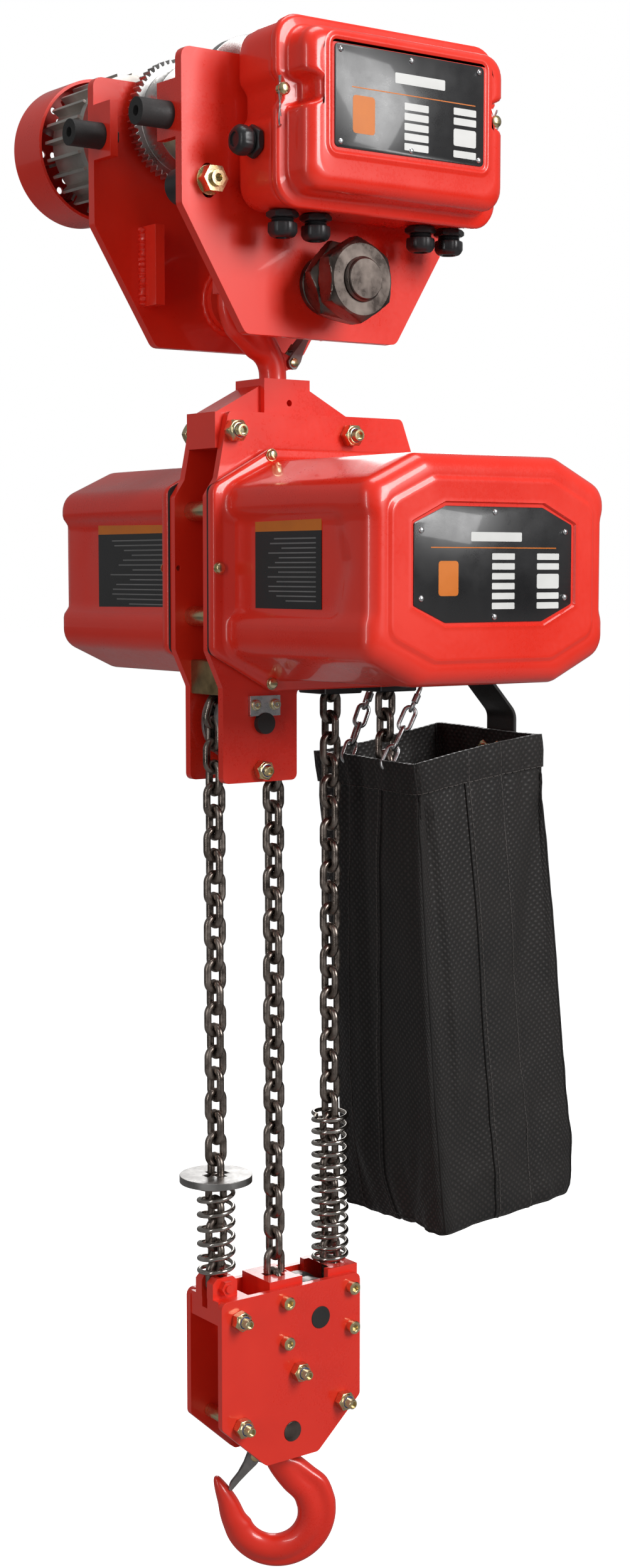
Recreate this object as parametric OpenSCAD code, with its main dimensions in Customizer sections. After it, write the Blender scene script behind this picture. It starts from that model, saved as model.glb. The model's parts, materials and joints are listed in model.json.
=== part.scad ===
// Electric chain hoist on a motor-driven beam trolley, three falls of chain.
// Origin: on the beam's centre line, at the height of the wheel treads, midway between the wheels.
// +X runs along the beam, -Y is the side of the control box, +Z is up. Millimetres.

/* [Load chain] */
// Diameter of the chain wire
wire_d = 7.1; // [7:0.05:7.1]
// Pitch of the load chain
pitch = 21; // [20.95:0.05:21]
// Outer width of a link
link_w = 23.9; // [23.8:0.1:24]
// Play between neighbouring links
link_play = 0.1; // [0.05:0.05:0.2]
// Links in the fall that ends at the anchor
fall_1_links = 26; // [26]
// Links in the middle fall, between the idler and the block's sheave
fall_2_links = 28; // [28]
// Links in the fall between the block's sheave and the load wheel
fall_3_links = 34; // [34]
// Links of each fall that travel with the lower block
block_links = 12; // [12]
// Links of the slack fall that drop into the chain bag
slack_links = 12; // [6:1:12]

/* [Trolley] */
// Half length of a side plate along the beam
plate_half = 151.5; // [145:1:155]
// Distance from the beam's centre line to a plate's outer face
plate_out = 80; // [80]
// Thickness of a side plate
plate_t = 10; // [8:1:10]
// Distance of the wheel axles from the middle
wheel_x = 62; // [62]
// Radius of a wheel's tread
tread_r = 49; // [49]
// Radius of the load shaft
shaft_r = 20; // [20]
// Depth of the load shaft below the treads
shaft_drop = 111; // [111]

/* [Control box] */
// Middle of the control box along the beam
box_x = 23; // [23]
// Width of the control box
box_w = 246; // [240:2:246]
// Height of the control box
box_h = 163; // [160:1:164]
// Underside of the control box
box_low = -57; // [-57]
// Distance of the box's back, its joint and its lid's face from the centre line
box_back = 82; // [82]
box_joint = 140; // [136:1:144]
box_face = 179; // [176:1:182]

/* [Hoist body] */
// Depth of the middle of the hoist body below the treads
body_drop = 369; // [369]
// Half gap between the frame plates
gap_half = 24; // [24]
// Thickness of a frame plate
frame_t = 8; // [8]
// Middle of the covers along the beam
cover_x = 53.5; // [53.5]
// Half width and half height of the cover flange
flange_hw = 150.5; // [150.5]
flange_hh = 112.5; // [112.5]
// Half width and half height of the cover body
cover_hw = 137.5; // [137.5]
cover_hh = 101; // [101]
// Distance of the front cover's outer face from the centre line
cover_face = 260; // [255:1:262]
// Distance of the rear cover's outer face from the centre line
rear_face = 268; // [262:1:270]

/* [Lower block] */
// Height of the hook's trunnion axis from the middle of the body
trunnion_z = -838.5; // [-838.5]
// Half gap between the block plates
block_gap = 24; // [24]
// Thickness of a block plate
block_t = 7; // [7]
// Turn of the lower hook about its shank
hook_turn = -36; // [-90:1:90]

/* [Chain bag] */
// Length, width and depth of the bag
bag_l = 164; // [150:1:166]
bag_w = 160; // [150:1:164]
bag_d = 474; // [400:1:480]
// Lean of the bag
bag_lean = -5.8; // [-6.5:0.1:-5]

/* [Hidden] */
$fn = 48;
eps = 0.01;
run = 0.05;

red = [0.86, 0.08, 0.06];
black = [0.06, 0.06, 0.07];
zinc = [0.78, 0.79, 0.8];
gold = [0.78, 0.66, 0.32];
steel = [0.55, 0.55, 0.56];
chain_grey = [0.22, 0.19, 0.17];

// Chain geometry: a link bends about the centres of its round ends.
crown_r = (link_w - wire_d) / 2;
eye_half = (pitch + link_play + 2 * wire_d - link_w) / 2;
bend = 36;
short_side = 2 * eye_half;
long_side = 2 * (pitch - eye_half);
upright_r = (long_side + short_side * cos(bend)) / (2 * sin(bend));
flat_r = (short_side + long_side * cos(bend)) / (2 * sin(bend));
fall_r = upright_r * cos(bend / 2) + eye_half * sin(bend / 2);
pivot_rise = upright_r * sin(bend / 2) - eye_half * cos(bend / 2);
first_drop = pitch - eye_half - pivot_rise;

// Wheel centres, from the middle of the hoist body
idler_x = -fall_r;
idler_z = -142.7;
sheave_x = fall_r;
sheave_z = idler_z - fall_2_links * pitch;
load_x = 3 * fall_r;
load_z = sheave_z + fall_3_links * pitch;
fall_1_x = -2 * fall_r;
fall_3_x = 2 * fall_r;
slack_x = 4 * fall_r;
anchor_z = idler_z - first_drop - pitch * (fall_1_links - 1);
anchor_bolt_r = 4;
anchor_bolt_z = anchor_z - eye_half - (crown_r - wire_d / 2) + anchor_bolt_r + run;

frame_out = gap_half + frame_t;
block_out = block_gap + block_t;
shank_r = 13;
bowl_r = 23;

// Gears: the load gear is driven by the intermediate shaft, and that by the motor.
load_teeth = 60;
small_teeth = 12;
clutch_teeth = 66;
load_module = 2;
motor_module = 1.5;
stage_angle = 150;
stage_2 = load_module * (load_teeth + small_teeth) / 2;
mid_x = load_x + stage_2 * cos(stage_angle);
mid_z = load_z + stage_2 * sin(stage_angle);
motor_angle = 210;
stage_1 = motor_module * (clutch_teeth + small_teeth) / 2;
motor_x = mid_x + stage_1 * cos(motor_angle);
motor_z = mid_z + stage_1 * sin(motor_angle);

// Trolley drive
rim_teeth = 56;
travel_teeth = 14;
rim_module = 2;
rim_r = rim_module * rim_teeth / 2;
travel_reach = rim_module * (rim_teeth + travel_teeth) / 2;
travel_drop = sqrt(travel_reach * travel_reach - wheel_x * wheel_x);
travel_z = tread_r - travel_drop;
travel_angle = atan2(-travel_drop, wheel_x);
motor_axis_x = -84;
motor_axis_z = 38;

// ---------------------------------------------------------------- helpers

function unit2(v) = v / norm(v);
function turn(a) = a > 180 ? a - 360 : (a < -180 ? a + 360 : a);

// The arc of radius r that rounds corner p between neighbours a and b
function corner_arc(a, p, b, r, n) =
    let (u = unit2(a - p), v = unit2(b - p),
         half = acos(max(-1, min(1, u * v))) / 2,
         c = p + unit2(u + v) * r / sin(half),
         s = p + u * r / tan(half) - c,
         e = p + v * r / tan(half) - c,
         a0 = atan2(s.y, s.x),
         sweep = turn(atan2(e.y, e.x) - a0))
    [for (i = [0:n]) c + r * [cos(a0 + sweep * i / n), sin(a0 + sweep * i / n)]];

function rounded(pts, r, n = 4) =
    [for (i = [0:len(pts) - 1])
        each corner_arc(pts[(i + len(pts) - 1) % len(pts)], pts[i],
                        pts[(i + 1) % len(pts)], r, n)];

// An eight-sided outline: half sizes w and h, corners cut back by cx and cz
function octagon(w, h, cx, cz) =
    [[w - cx, h], [w, h - cz], [w, cz - h], [w - cx, -h],
     [cx - w, -h], [-w, cz - h], [-w, h - cz], [cx - w, h]];

function box_points(w, h) = [[w, h], [w, -h], [-w, -h], [-w, h]];

// Extrudes an outline drawn in X and Z from y0 to y1
module plate_y(y0, y1)
    translate([0, y1, 0]) rotate([90, 0, 0]) linear_extrude(y1 - y0) children();

module rod_y(r, y0, y1, x = 0, z = 0)
    translate([x, y1, z]) rotate([90, 0, 0]) cylinder(r = r, h = y1 - y0);

module rod_x(r, x0, x1, y = 0, z = 0)
    translate([x0, y, z]) rotate([0, 90, 0]) cylinder(r = r, h = x1 - x0);

module block(lo, hi) translate(lo) cube(hi - lo);

module in_body() translate([0, 0, -body_drop]) children();

// Mirror images on both sides of the beam's centre line
module both_sides() {
    children();
    mirror([0, 1, 0]) children();
}

// A hexagon prism along -Y, from y downwards by h
module hex_y(af, y, h, x, z)
    translate([x, y, z]) rotate([90, 0, 0]) cylinder(d = af / cos(30), h = h, $fn = 6);

// A through bolt along Y: locking nut and socketed end at the front, hexagon head at the rear
module lock_bolt(x, z, r, af, out, tail) {
    difference() {
        union() {
            rod_y(r, -out - tail, out, x, z);
            hex_y(af, -out, af * 0.5, x, z);
            rod_y(af * 0.45, -out - af * 0.68, -out - af * 0.5 + eps, x, z);
            hex_y(af, out + af * 0.42, af * 0.42, x, z);
        }
        hex_y(r, -out - tail + r * 0.6, r * 0.6 + 1, x, z);
    }
}

// A socket head screw along Y whose head stands out at the front
module cap_screw(x, z, r, out, length) {
    difference() {
        union() {
            rod_y(r, -out, -out + length, x, z);
            rod_y(r * 1.62, -out - 2 * r, -out, x, z);
        }
        hex_y(r * 1.5, -out - r, r + 1, x, z);
    }
}

// A spur gear outline with a tooth centred at angle phase
function tooth_w(r, half) = asin(half / r);
function gear_points(z, m, phase) =
    let (rp = m * z / 2, ro = rp + 0.72 * m, ri = rp - 1.15 * m,
         t = 0.19 * PI * m, wo = tooth_w(ro, t - 0.72 * m * tan(20)),
         wi = tooth_w(ri, t + 1.15 * m * tan(20)))
    [for (i = [0:z - 1]) each
        let (c = phase + 360 * i / z)
        [ri * [cos(c - wi), sin(c - wi)], ro * [cos(c - wo), sin(c - wo)],
         ro * [cos(c + wo), sin(c + wo)], ri * [cos(c + wi), sin(c + wi)]]];

module gear_y(z, m, phase, y0, y1, x, zc)
    translate([x, 0, zc]) plate_y(y0, y1) polygon(gear_points(z, m, phase));

// Phase of gear b that meshes with gear a, where phi points from a to b
function mesh_phase(phase_a, z_a, z_b, phi) =
    phi + 180 - (phase_a - phi) * z_a / z_b + 180 / z_b;

// A tube of cross-sections: loops is a list of closed rings with equal point counts
module skin(loops) {
    n = len(loops[0]);
    m = len(loops);
    pts = [for (l = loops) each l];
    sides = [for (i = [0:m - 2], j = [0:n - 1])
        [i * n + j, i * n + (j + 1) % n, (i + 1) * n + (j + 1) % n, (i + 1) * n + j]];
    caps = [[for (j = [n - 1:-1:0]) j], [for (j = [0:n - 1]) (m - 1) * n + j]];
    polyhedron(pts, concat(sides, caps), convexity = 8);
}

// ---------------------------------------------------------------- load chain

// One link standing upright in the XZ plane
module link() {
    for (s = [0, 1])
        mirror([0, 0, s]) translate([0, 0, eye_half]) rotate([90, 0, 0])
            rotate_extrude(angle = 180) translate([crown_r, 0]) circle(d = wire_d, $fn = 24);
    for (s = [-1, 1])
        translate([s * crown_r, 0, -eye_half]) cylinder(d = wire_d, h = 2 * eye_half, $fn = 24);
}

module turned_link(flat) rotate([0, 0, flat ? 90 : 0]) link();

// Links first to last of a fall; odd links of a fall from a top wheel lie flat
module fall(x, wheel_z, first, last)
    for (k = [first:last])
        translate([x, 0, wheel_z - first_drop - pitch * (k - 1)]) turned_link(k % 2 == 1);

// The five links on a wheel; up is 1 over the top of a wheel and -1 under it
module wrap_links(x, z, up)
    for (i = [0:4]) {
        flat = up > 0 ? i % 2 == 1 : i % 2 == 0;
        translate([x, 0, z]) rotate([0, -up * (bend / 2 + bend * i), 0])
            translate([flat ? flat_r : upright_r, 0, 0]) turned_link(flat);
    }

module load_chain_upper() color(chain_grey) in_body() {
    fall(fall_1_x, idler_z, 1, fall_1_links - block_links);
    fall(0, idler_z, 1, fall_2_links - block_links);
    fall(fall_3_x, load_z, 1, fall_3_links - block_links);
    fall(slack_x, load_z, 1, slack_links);
    wrap_links(idler_x, idler_z, 1);
    wrap_links(load_x, load_z, 1);
}

module load_chain_lower() color(chain_grey) in_body() {
    fall(fall_1_x, idler_z, fall_1_links - block_links + 1, fall_1_links);
    fall(0, idler_z, fall_2_links - block_links + 1, fall_2_links);
    fall(fall_3_x, load_z, fall_3_links - block_links + 1, fall_3_links);
    wrap_links(sheave_x, sheave_z, -1);
}

// A cross-shaped opening that lets both kinds of link through
module cross_slot(x, z0, z1, play = 0.8) {
    arm = link_w / 2 + play;
    leg = wire_d / 2 + play;
    block([x - arm, -leg, z0], [x + arm, leg, z1]);
    block([x - leg, -arm, z0], [x + leg, arm, z1]);
}

// ---------------------------------------------------------------- pocket wheels

pocket_rim_r = 38;
// The block's sheave is lower, to clear the flat links that stand beside it
sheave_rim_r = 34.4;
pocket_half_w = 16;
groove_r = 21.2;
pocket_floor = flat_r - wire_d / 2 - 0.2;

// A wheel about Y with five pockets for the flat links and a groove for the upright ones
module pocket_wheel(x, z, bore_r, rim = pocket_rim_r) {
    groove = wire_d / 2 + 0.75;
    end_r = link_w / 2 + 0.35;
    translate([x, 0, z]) difference() {
        rotate([90, 0, 0]) rotate_extrude() polygon([
            [bore_r, -pocket_half_w], [rim, -pocket_half_w], [rim, -groove],
            [groove_r, -groove], [groove_r, groove], [rim, groove],
            [rim, pocket_half_w], [bore_r, pocket_half_w]]);
        for (i = [0:4]) rotate([0, -(54 + 72 * i), 0]) {
            for (s = [-1, 1]) translate([0, 0, s * eye_half])
                rod_x(end_r, pocket_floor, rim + 2);
            block([pocket_floor, -end_r, -eye_half], [rim + 2, end_r, eye_half]);
        }
    }
}

// ---------------------------------------------------------------- hooks

hook_neck_z = 68;

// Centre line of a hook from its shank to its tip: [x, z, in-plane half width, half thickness]
bowl_stations = [for (a = [20:-15:-160])
    let (t = (20 - a) / 180,
         w = 19.6 - 5.6 * t,
         rc = bowl_r + w)
    [rc * cos(a) - 2 * t, rc * sin(a), w, 12.5 - 1.5 * t, a]];
hook_stations = concat(
    [[0, hook_neck_z, shank_r, shank_r, 0],
     [3, 60, 14.5, 13, 4],
     [11.5, 49, 17, 12.8, 24],
     [24, 35.5, 18.6, 12.6, 34],
     [35.5, 25, 19.4, 12.6, 32]],
    bowl_stations,
    [[-41.8, -2, 12.6, 11, -178],
     [-46.3, 11, 10.2, 10.4, -171],
     [-51.5, 22.5, 7.6, 9.2, -168],
     [-55.5, 33, 4.6, 6, -172],
     [-56.2, 36.5, 2, 3, -176]]);

// One ring of a hook: a rounded section across the centre line, its normal turned by angle a
function hook_ring(s) =
    let (d = [cos(s[4]), sin(s[4])])
    [for (k = [0:11])
        let (c = cos(30 * k), q = sin(30 * k), fat = c < 0 ? 1 : 0.86,
             w = s[2] * sign(c) * pow(abs(c), 0.8))
        [s[0] + d.x * w, s[3] * fat * q, s[1] + d.y * w]];

latch_pivot = [-19, 60];
latch_pin_r = 2.5;
latch_foot = [-44.3, 26.2];

// A forged hook about its own shank axis, bowl centre at the origin, tip on the -X side
module hook_forging(shank_top) {
    difference() {
        union() {
            skin([for (s = hook_stations) hook_ring(s)]);
            translate([0, 0, hook_neck_z - 1]) cylinder(r = shank_r, h = shank_top - hook_neck_z + 1);
            plate_y(-5, 5) polygon([[-6, 50], [latch_pivot.x + 2, latch_pivot.y - 6],
                                    [latch_pivot.x + 2, latch_pivot.y + 6], [-6, 70]]);
            rod_y(6, -5, 5, latch_pivot.x, latch_pivot.y);
        }
        rod_y(latch_pin_r + run, -6, 6, latch_pivot.x, latch_pivot.y);
    }
}

// The spring latch with its pin, closed against the inside of the hook's tip
module latch() {
    p = latch_pivot;
    f = latch_foot;
    d = unit2(f - p);
    n = [-d.y, d.x];
    cheek = [p + n * 5, p + d * 10 + n * 5.4, p + d * 26 + n * 3.6, f + n * 3, f - n * 1.5,
             p + d * 24 - n * 2.5, p + d * 8 - n * 6, p - n * 6];
    for (s = [0, 1]) mirror([0, s, 0]) {
        plate_y(5.3, 8.3) polygon(cheek);
        difference() {
            rod_y(6.3, 5.3, 8.3, p.x, p.y);
            rod_y(latch_pin_r - eps, 5, 9, p.x, p.y);
        }
    }
    plate_y(-5.3, 5.3) polygon([p + d * 12 + n * 5, p + d * 26 + n * 3.6, f + n * 3, f - n * 1.5,
                                p + d * 24 - n * 1, p + d * 12 + n * 1]);
    rod_y(latch_pin_r, -8.3, 8.3, p.x, p.y);
    both_sides() rod_y(3.6, 8.3, 10.2, p.x, p.y);
}

hook_rest = 2.5;
module at_top_hook() translate([0, 0, -shaft_drop - hook_rest]) rotate([0, 180, 0]) children();

top_shank = 137;
// The round nut on the end of a hook's shank, pinned so that it can't turn
module hook_nut(z, h)
    translate([0, 0, z]) difference() {
        cylinder(r = 20, h = h);
        translate([0, 0, -1]) cylinder(r = shank_r - 2, h = h + 2);
    }

module top_hook() color(red) at_top_hook() {
    hook_forging(118);
    translate([0, 0, 118 - eps]) cylinder(r = shank_r - 2 - eps, h = top_shank - 118);
    hook_nut(119, 17);
}

module top_latch() color(zinc) at_top_hook() latch();

// ---------------------------------------------------------------- trolley

plate_top = 83;
slant_z = -51;
plate_low = -159;
slant_x = 85;
roller_x = 124;
roller_z = -29;
roller_r = 16.5;
bumper_y = 58;
bumper_r = 12;
bumper_length = 33;
bumper_z = 27;
plate_in = plate_out - plate_t;
wheel_axle_r = 12;
roller_bolt_r = 7;

// One side plate with its bumper brackets, shaft boss and ribs; drawn on the +Y side.
// What it is cut by beyond its shaft, axle and bumper holes is passed as children.
module trolley_plate() {
    outline = rounded([[-plate_half, plate_top], [plate_half, plate_top], [plate_half, slant_z],
        [slant_x, plate_low], [-slant_x, plate_low], [-plate_half, slant_z]], 9);
    difference() {
        union() {
            plate_y(plate_in, plate_out) polygon(outline);
            for (s = [-1, 1]) {
                block([s > 0 ? plate_half - 8 : -plate_half, 40, 7],
                      [s > 0 ? plate_half : 8 - plate_half, plate_in + eps, 57]);
                block([s * 94 - 5, plate_in - 22, -122], [s * 94 + 5, plate_in + eps, -48]);
            }
            rod_y(30, plate_in - 10, plate_in + eps, 0, -shaft_drop);
        }
        rod_y(shaft_r + run, plate_in - 20, plate_out + 1, 0, -shaft_drop);
        for (s = [-1, 1]) {
            rod_y(wheel_axle_r, plate_in - 1, plate_out + 1, s * wheel_x, tread_r);
            rod_x(4, s * plate_half - 10, s * plate_half + 10, bumper_y, bumper_z);
        }
        children();
    }
}

module trolley_plate_front() color(red) mirror([0, 1, 0]) trolley_plate()
    for (s = [-1, 1]) {
        block([s * roller_x - roller_bolt_r, plate_in - 1, roller_z - 8],
              [s * roller_x + roller_bolt_r, plate_out + 1, roller_z + 8]);
        for (t = [-1, 1])
            rod_y(roller_bolt_r, plate_in - 1, plate_out + 1, s * roller_x, roller_z + t * 8);
    }

module trolley_plate_rear() color(red) trolley_plate()
    rod_y(10 + run, plate_in - 1, plate_out + 1, 0, travel_z);

shaft_end = 146;
module load_shaft() color(steel) difference() {
    union() {
        rod_y(shaft_r, -shaft_end + 2, shaft_end - 2, 0, -shaft_drop);
        both_sides() rod_y(shaft_r - 2, shaft_end - 3, shaft_end, 0, -shaft_drop);
    }
    both_sides() rod_y(8, shaft_end - 3, shaft_end + 1, 0, -shaft_drop);
}

// Spacer rings, a jam nut and a nut on each end of the load shaft
module load_shaft_nuts() color([0.25, 0.23, 0.21]) both_sides() difference() {
    union() {
        for (i = [0:2]) rod_y(26.5, plate_out + i * 6.6, plate_out + i * 6.6 + 6, 0, -shaft_drop);
        hex_y(64, plate_out + 36.5, 16, 0, -shaft_drop);
        hex_y(64, plate_out + 60, 22, 0, -shaft_drop);
    }
    rod_y(shaft_r + run, plate_out - 1, shaft_end + 5, 0, -shaft_drop);
}

module bumpers() color(black) both_sides() for (s = [0, 1]) mirror([s, 0, 0]) {
    difference() {
        rod_x(bumper_r, plate_half, plate_half + bumper_length, bumper_y, bumper_z);
        rod_x(4.5, plate_half + bumper_length - 12, plate_half + bumper_length + 1, bumper_y, bumper_z);
    }
    rod_x(3.9, plate_half - 8, plate_half + eps, bumper_y, bumper_z);
    difference() {
        hex_x(14, plate_half - 16, 7.9, bumper_y, bumper_z);
        rod_x(3.9, plate_half - 17, plate_half - 8, bumper_y, bumper_z);
    }
}

module hex_x(af, x, h, y, z)
    translate([x, y, z]) rotate([0, 90, 0]) cylinder(d = af / cos(30), h = h, $fn = 6);

// Wheel axles, flush with the plates, and the guide rollers' bolts in the front plate's slots
module trolley_axles() color(gold) {
    both_sides() for (s = [-1, 1]) {
        rod_y(wheel_axle_r, 27, plate_out, s * wheel_x, tread_r);
        rod_y(wheel_axle_r + 4, 23, 27.1, s * wheel_x, tread_r);
    }
    for (s = [-1, 1]) roller_bolt(s);
}

// One guide roller's bolt; the left one has its washer and nut outside the front plate
module roller_bolt(s) mirror([0, 1, 0]) {
    rod_y(roller_bolt_r - 0.2, 33, plate_out - 0.1, s * roller_x, roller_z);
    rod_y(roller_bolt_r + 4, 29, 33.1, s * roller_x, roller_z);
    if (s < 0) difference() {
        union() {
            rod_y(13, plate_out, plate_out + 2, s * roller_x, roller_z);
            hex_y(22, plate_out + 13, 11, s * roller_x, roller_z);
            rod_y(roller_bolt_r, plate_out + 12, plate_out + 17, s * roller_x, roller_z);
        }
        rod_y(3.5, plate_out + 11, plate_out + 18, s * roller_x, roller_z);
    }
}

rim_y0 = 52;
rim_y1 = 64;
// A wheel drawn on the +Y side; its rim outside the beam's edge is passed as a child
module trolley_wheel(x) difference() {
    union() {
        rod_y(tread_r, 28, rim_y0 + eps, x, tread_r);
        rod_y(34, rim_y1 - 1, rim_y1 + 4, x, tread_r);
        children();
    }
    rod_y(wheel_axle_r + run, 27, rim_y1 + 5, x, tread_r);
    difference() {
        rod_y(42, 27.5, 33, x, tread_r);
        rod_y(20, 27, 34, x, tread_r);
    }
}

module drive_wheel_left() color(steel) trolley_wheel(-wheel_x)
    gear_y(rim_teeth, rim_module, travel_angle, rim_y0, rim_y1, -wheel_x, tread_r);

pinion_phase = mesh_phase(travel_angle, rim_teeth, travel_teeth, travel_angle);
right_phase = mesh_phase(pinion_phase, travel_teeth, rim_teeth, -travel_angle);
module drive_wheel_right() color(steel) trolley_wheel(wheel_x)
    gear_y(rim_teeth, rim_module, right_phase, rim_y0, rim_y1, wheel_x, tread_r);

module plain_wheel(x) mirror([0, 1, 0]) trolley_wheel(x)
    rod_y(rim_r + 1, rim_y0, rim_y1, x, tread_r);
module idle_wheel_left() color(steel) plain_wheel(-wheel_x);
module idle_wheel_right() color(steel) plain_wheel(wheel_x);

module guide_roller(x) difference() {
    rod_y(roller_r, 34, 67, x, roller_z);
    rod_y(roller_bolt_r - 0.2 + run, 33, 68, x, roller_z);
}
module guide_roller_left() color(black) mirror([0, 1, 0]) guide_roller(-roller_x);
module guide_roller_right() color(black) mirror([0, 1, 0]) guide_roller(roller_x);

// ---------------------------------------------------------------- travel drive

gearbox_back = 104;
module travel_pinion() color(steel) {
    gear_y(travel_teeth, rim_module, pinion_phase, rim_y0, rim_y1, 0, travel_z);
    rod_y(10, rim_y1 - eps, gearbox_back - 6, 0, travel_z);
}

// A rounded outline about the motor axis and the pinion axis
module gearbox_outline(r_a, r_b) hull() {
    translate([motor_axis_x, motor_axis_z]) circle(r = r_a);
    translate([0, travel_z]) circle(r = r_b);
}

module travel_gearbox() color(red) difference() {
    plate_y(plate_out, gearbox_back) gearbox_outline(48, 36);
    plate_y(plate_out - 1, gearbox_back - 5) gearbox_outline(42, 30);
    rod_y(6 + run, 90, gearbox_back + 1, motor_axis_x, motor_axis_z);
}

travel_cowl_y = 172;
module travel_motor() color(zinc) difference() {
    union() {
        rod_y(54, gearbox_back, travel_cowl_y - 2, motor_axis_x, motor_axis_z);
        rod_y(60, gearbox_back, gearbox_back + 8, motor_axis_x, motor_axis_z);
        for (i = [0:23]) translate([motor_axis_x, 0, motor_axis_z]) rotate([0, 15 * i, 0])
            block([50, gearbox_back + 6, -1.4], [63, travel_cowl_y - 3, 1.4]);
    }
    rod_y(36, gearbox_back + 10, travel_cowl_y - 8, motor_axis_x, motor_axis_z);
    rod_y(6 + run, gearbox_back - 1, travel_cowl_y, motor_axis_x, motor_axis_z);
}

module travel_rotor() color(steel) {
    rod_y(6, 92, 206, motor_axis_x, motor_axis_z);
    rod_y(35, gearbox_back + 14, travel_cowl_y - 12, motor_axis_x, motor_axis_z);
    rod_y(16, 178, 200, motor_axis_x, motor_axis_z);
    for (i = [0:8]) translate([motor_axis_x, 0, motor_axis_z]) rotate([0, 40 * i, 0])
        block([12, 180, -1.5], [56, 198, 1.5]);
}

cowl_end = 222;
module fan_cowl() color(red) difference() {
    rod_y(68, travel_cowl_y, cowl_end, motor_axis_x, motor_axis_z);
    rod_y(65, travel_cowl_y - 1, cowl_end - 3, motor_axis_x, motor_axis_z);
    for (r = [14, 26, 38, 50], i = [0:5]) translate([motor_axis_x, 0, motor_axis_z])
        rotate([0, 60 * i, 0]) rod_y(3.4, cowl_end - 5, cowl_end + 1, r, 0);
}

// ---------------------------------------------------------------- control box

box_z = box_low + box_h / 2;
box_wall = 5;
notch_z = 40;
module box_outline(inset, r = 20)
    translate([box_x, box_z])
        polygon(rounded(box_points(box_w / 2 - inset, box_h / 2 - inset), r, 5));

// The clamp notch cut into each end of the box and its lid
module clamp_notches(y0, y1) for (s = [-1, 1])
    block([box_x + s * box_w / 2 - 11, y0, notch_z - 10], [box_x + s * box_w / 2 + 11, y1, notch_z + 10]);

gland_x = [-70, -34, 85, 118.5];
gland_y = -116;
gland_r = 8;
side_gland_z = 1;
module control_box() color(red) difference() {
    plate_y(-box_joint, -box_back) box_outline(0);
    difference() {
        plate_y(-box_joint - 1, -box_back - box_wall) box_outline(box_wall, 15);
        for (s = [-1, 1]) block([box_x + s * box_w / 2 - 16, -box_joint - 1, notch_z - 15],
                                [box_x + s * box_w / 2 + 16, -box_back, notch_z + 15]);
    }
    clamp_notches(-box_joint - 1, -box_joint + 14);
    for (x = gland_x) translate([x, gland_y, box_low - 1]) cylinder(r = gland_r + run, h = box_wall + 2);
    rod_x(gland_r + run, box_x - box_w / 2 - 1, box_x - box_w / 2 + box_wall + 1, gland_y, side_gland_z);
    for (s = [-1, 1]) rod_y(3, -box_joint + 5, -box_back - 12, box_x + s * (box_w / 2 - 6), notch_z);
}

module control_box_lid() color(red) difference() {
    hull() {
        plate_y(-box_joint - 20, -box_joint - 1) box_outline(0);
        plate_y(-box_face + 4, -box_joint - 20) box_outline(4);
        plate_y(-box_face, -box_face + 4) box_outline(14);
    }
    difference() {
        hull() {
            plate_y(-box_joint - 20, -box_joint) box_outline(box_wall, 15);
            plate_y(-box_face + 5, -box_joint - 20) box_outline(box_wall + 8, 12);
        }
        for (s = [-1, 1]) block([box_x + s * box_w / 2 - 17, -box_face, notch_z - 15],
                                [box_x + s * box_w / 2 + 17, -box_joint, notch_z + 15]);
    }
    clamp_notches(-box_face - 1, -box_joint - 9);
    for (s = [-1, 1]) rod_y(3.2, -box_joint - 10, -box_joint, box_x + s * (box_w / 2 - 6), notch_z);
}

plate_hw = 83;
plate_hh = 43.5;
// Clamp pins with spring clips, the blank nameplate and its rivets
module lid_hardware() {
    color(gold) for (s = [-1, 1]) translate([box_x + s * (box_w / 2 - 6), 0, notch_z]) {
        rod_y(2.9, -box_joint - 14, -box_joint + 20);
        rod_y(4.6, -box_joint - 16, -box_joint - 14 + eps);
        translate([0, -box_joint - 12, 0]) rotate([90, 0, 0]) rotate_extrude()
            translate([3.85, 0]) circle(r = 0.8, $fn = 16);
    }
    color(black) plate_y(-box_face - 0.8, -box_face)
        translate([box_x, box_z + 11]) polygon(rounded(box_points(plate_hw, plate_hh), 5));
    color(zinc) for (i = [-1, 0, 1], j = [-1, 1])
        rod_y(2.4, -box_face - 2, -box_face - 0.8, box_x + i * (plate_hw - 8),
              box_z + 11 + j * (plate_hh - 4));
}

// A cable gland along -Z, with its bore, at the wall's outer face
module gland() difference() {
    union() {
        translate([0, 0, -5]) cylinder(d = 22 / cos(30), h = 5, $fn = 6);
        translate([0, 0, -16]) cylinder(d = 20 / cos(30), h = 8, $fn = 6);
        translate([0, 0, -9]) cylinder(r = 8, h = 5);
        translate([0, 0, -19]) cylinder(r1 = 6.5, r2 = 9, h = 3 + eps);
        cylinder(r = gland_r, h = box_wall + 3);
        translate([0, 0, box_wall + 1.4]) cylinder(d = 20 / cos(30), h = 4, $fn = 6);
    }
    translate([0, 0, -20]) cylinder(r = 5, h = 40);
}

module cable_glands() color(black) {
    for (x = gland_x) translate([x, gland_y, box_low]) gland();
    translate([box_x - box_w / 2, gland_y, side_gland_z]) rotate([0, 90, 0]) gland();
}

// Two reversing contactors, a transformer and a terminal strip on a rail
module contactors() {
    y = -box_back - box_wall;
    color(zinc) block([-50, y - 8, 20], [96, y, 32]);
    color([0.9, 0.9, 0.86]) for (x = [-44, 6]) {
        block([x, y - 44, 0], [x + 44, y - 8.01, 56]);
        block([x + 6, y - 49, 14], [x + 38, y - 44 + eps, 42]);
    }
    color(gold) block([58, y - 42, 2], [94, y - 8.01, 50]);
    color(black) for (i = [0:7]) block([-44 + 11 * i, y - 22, -38], [-35 + 11 * i, y - 0.01, -18]);
}

// ---------------------------------------------------------------- hoist frame

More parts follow.
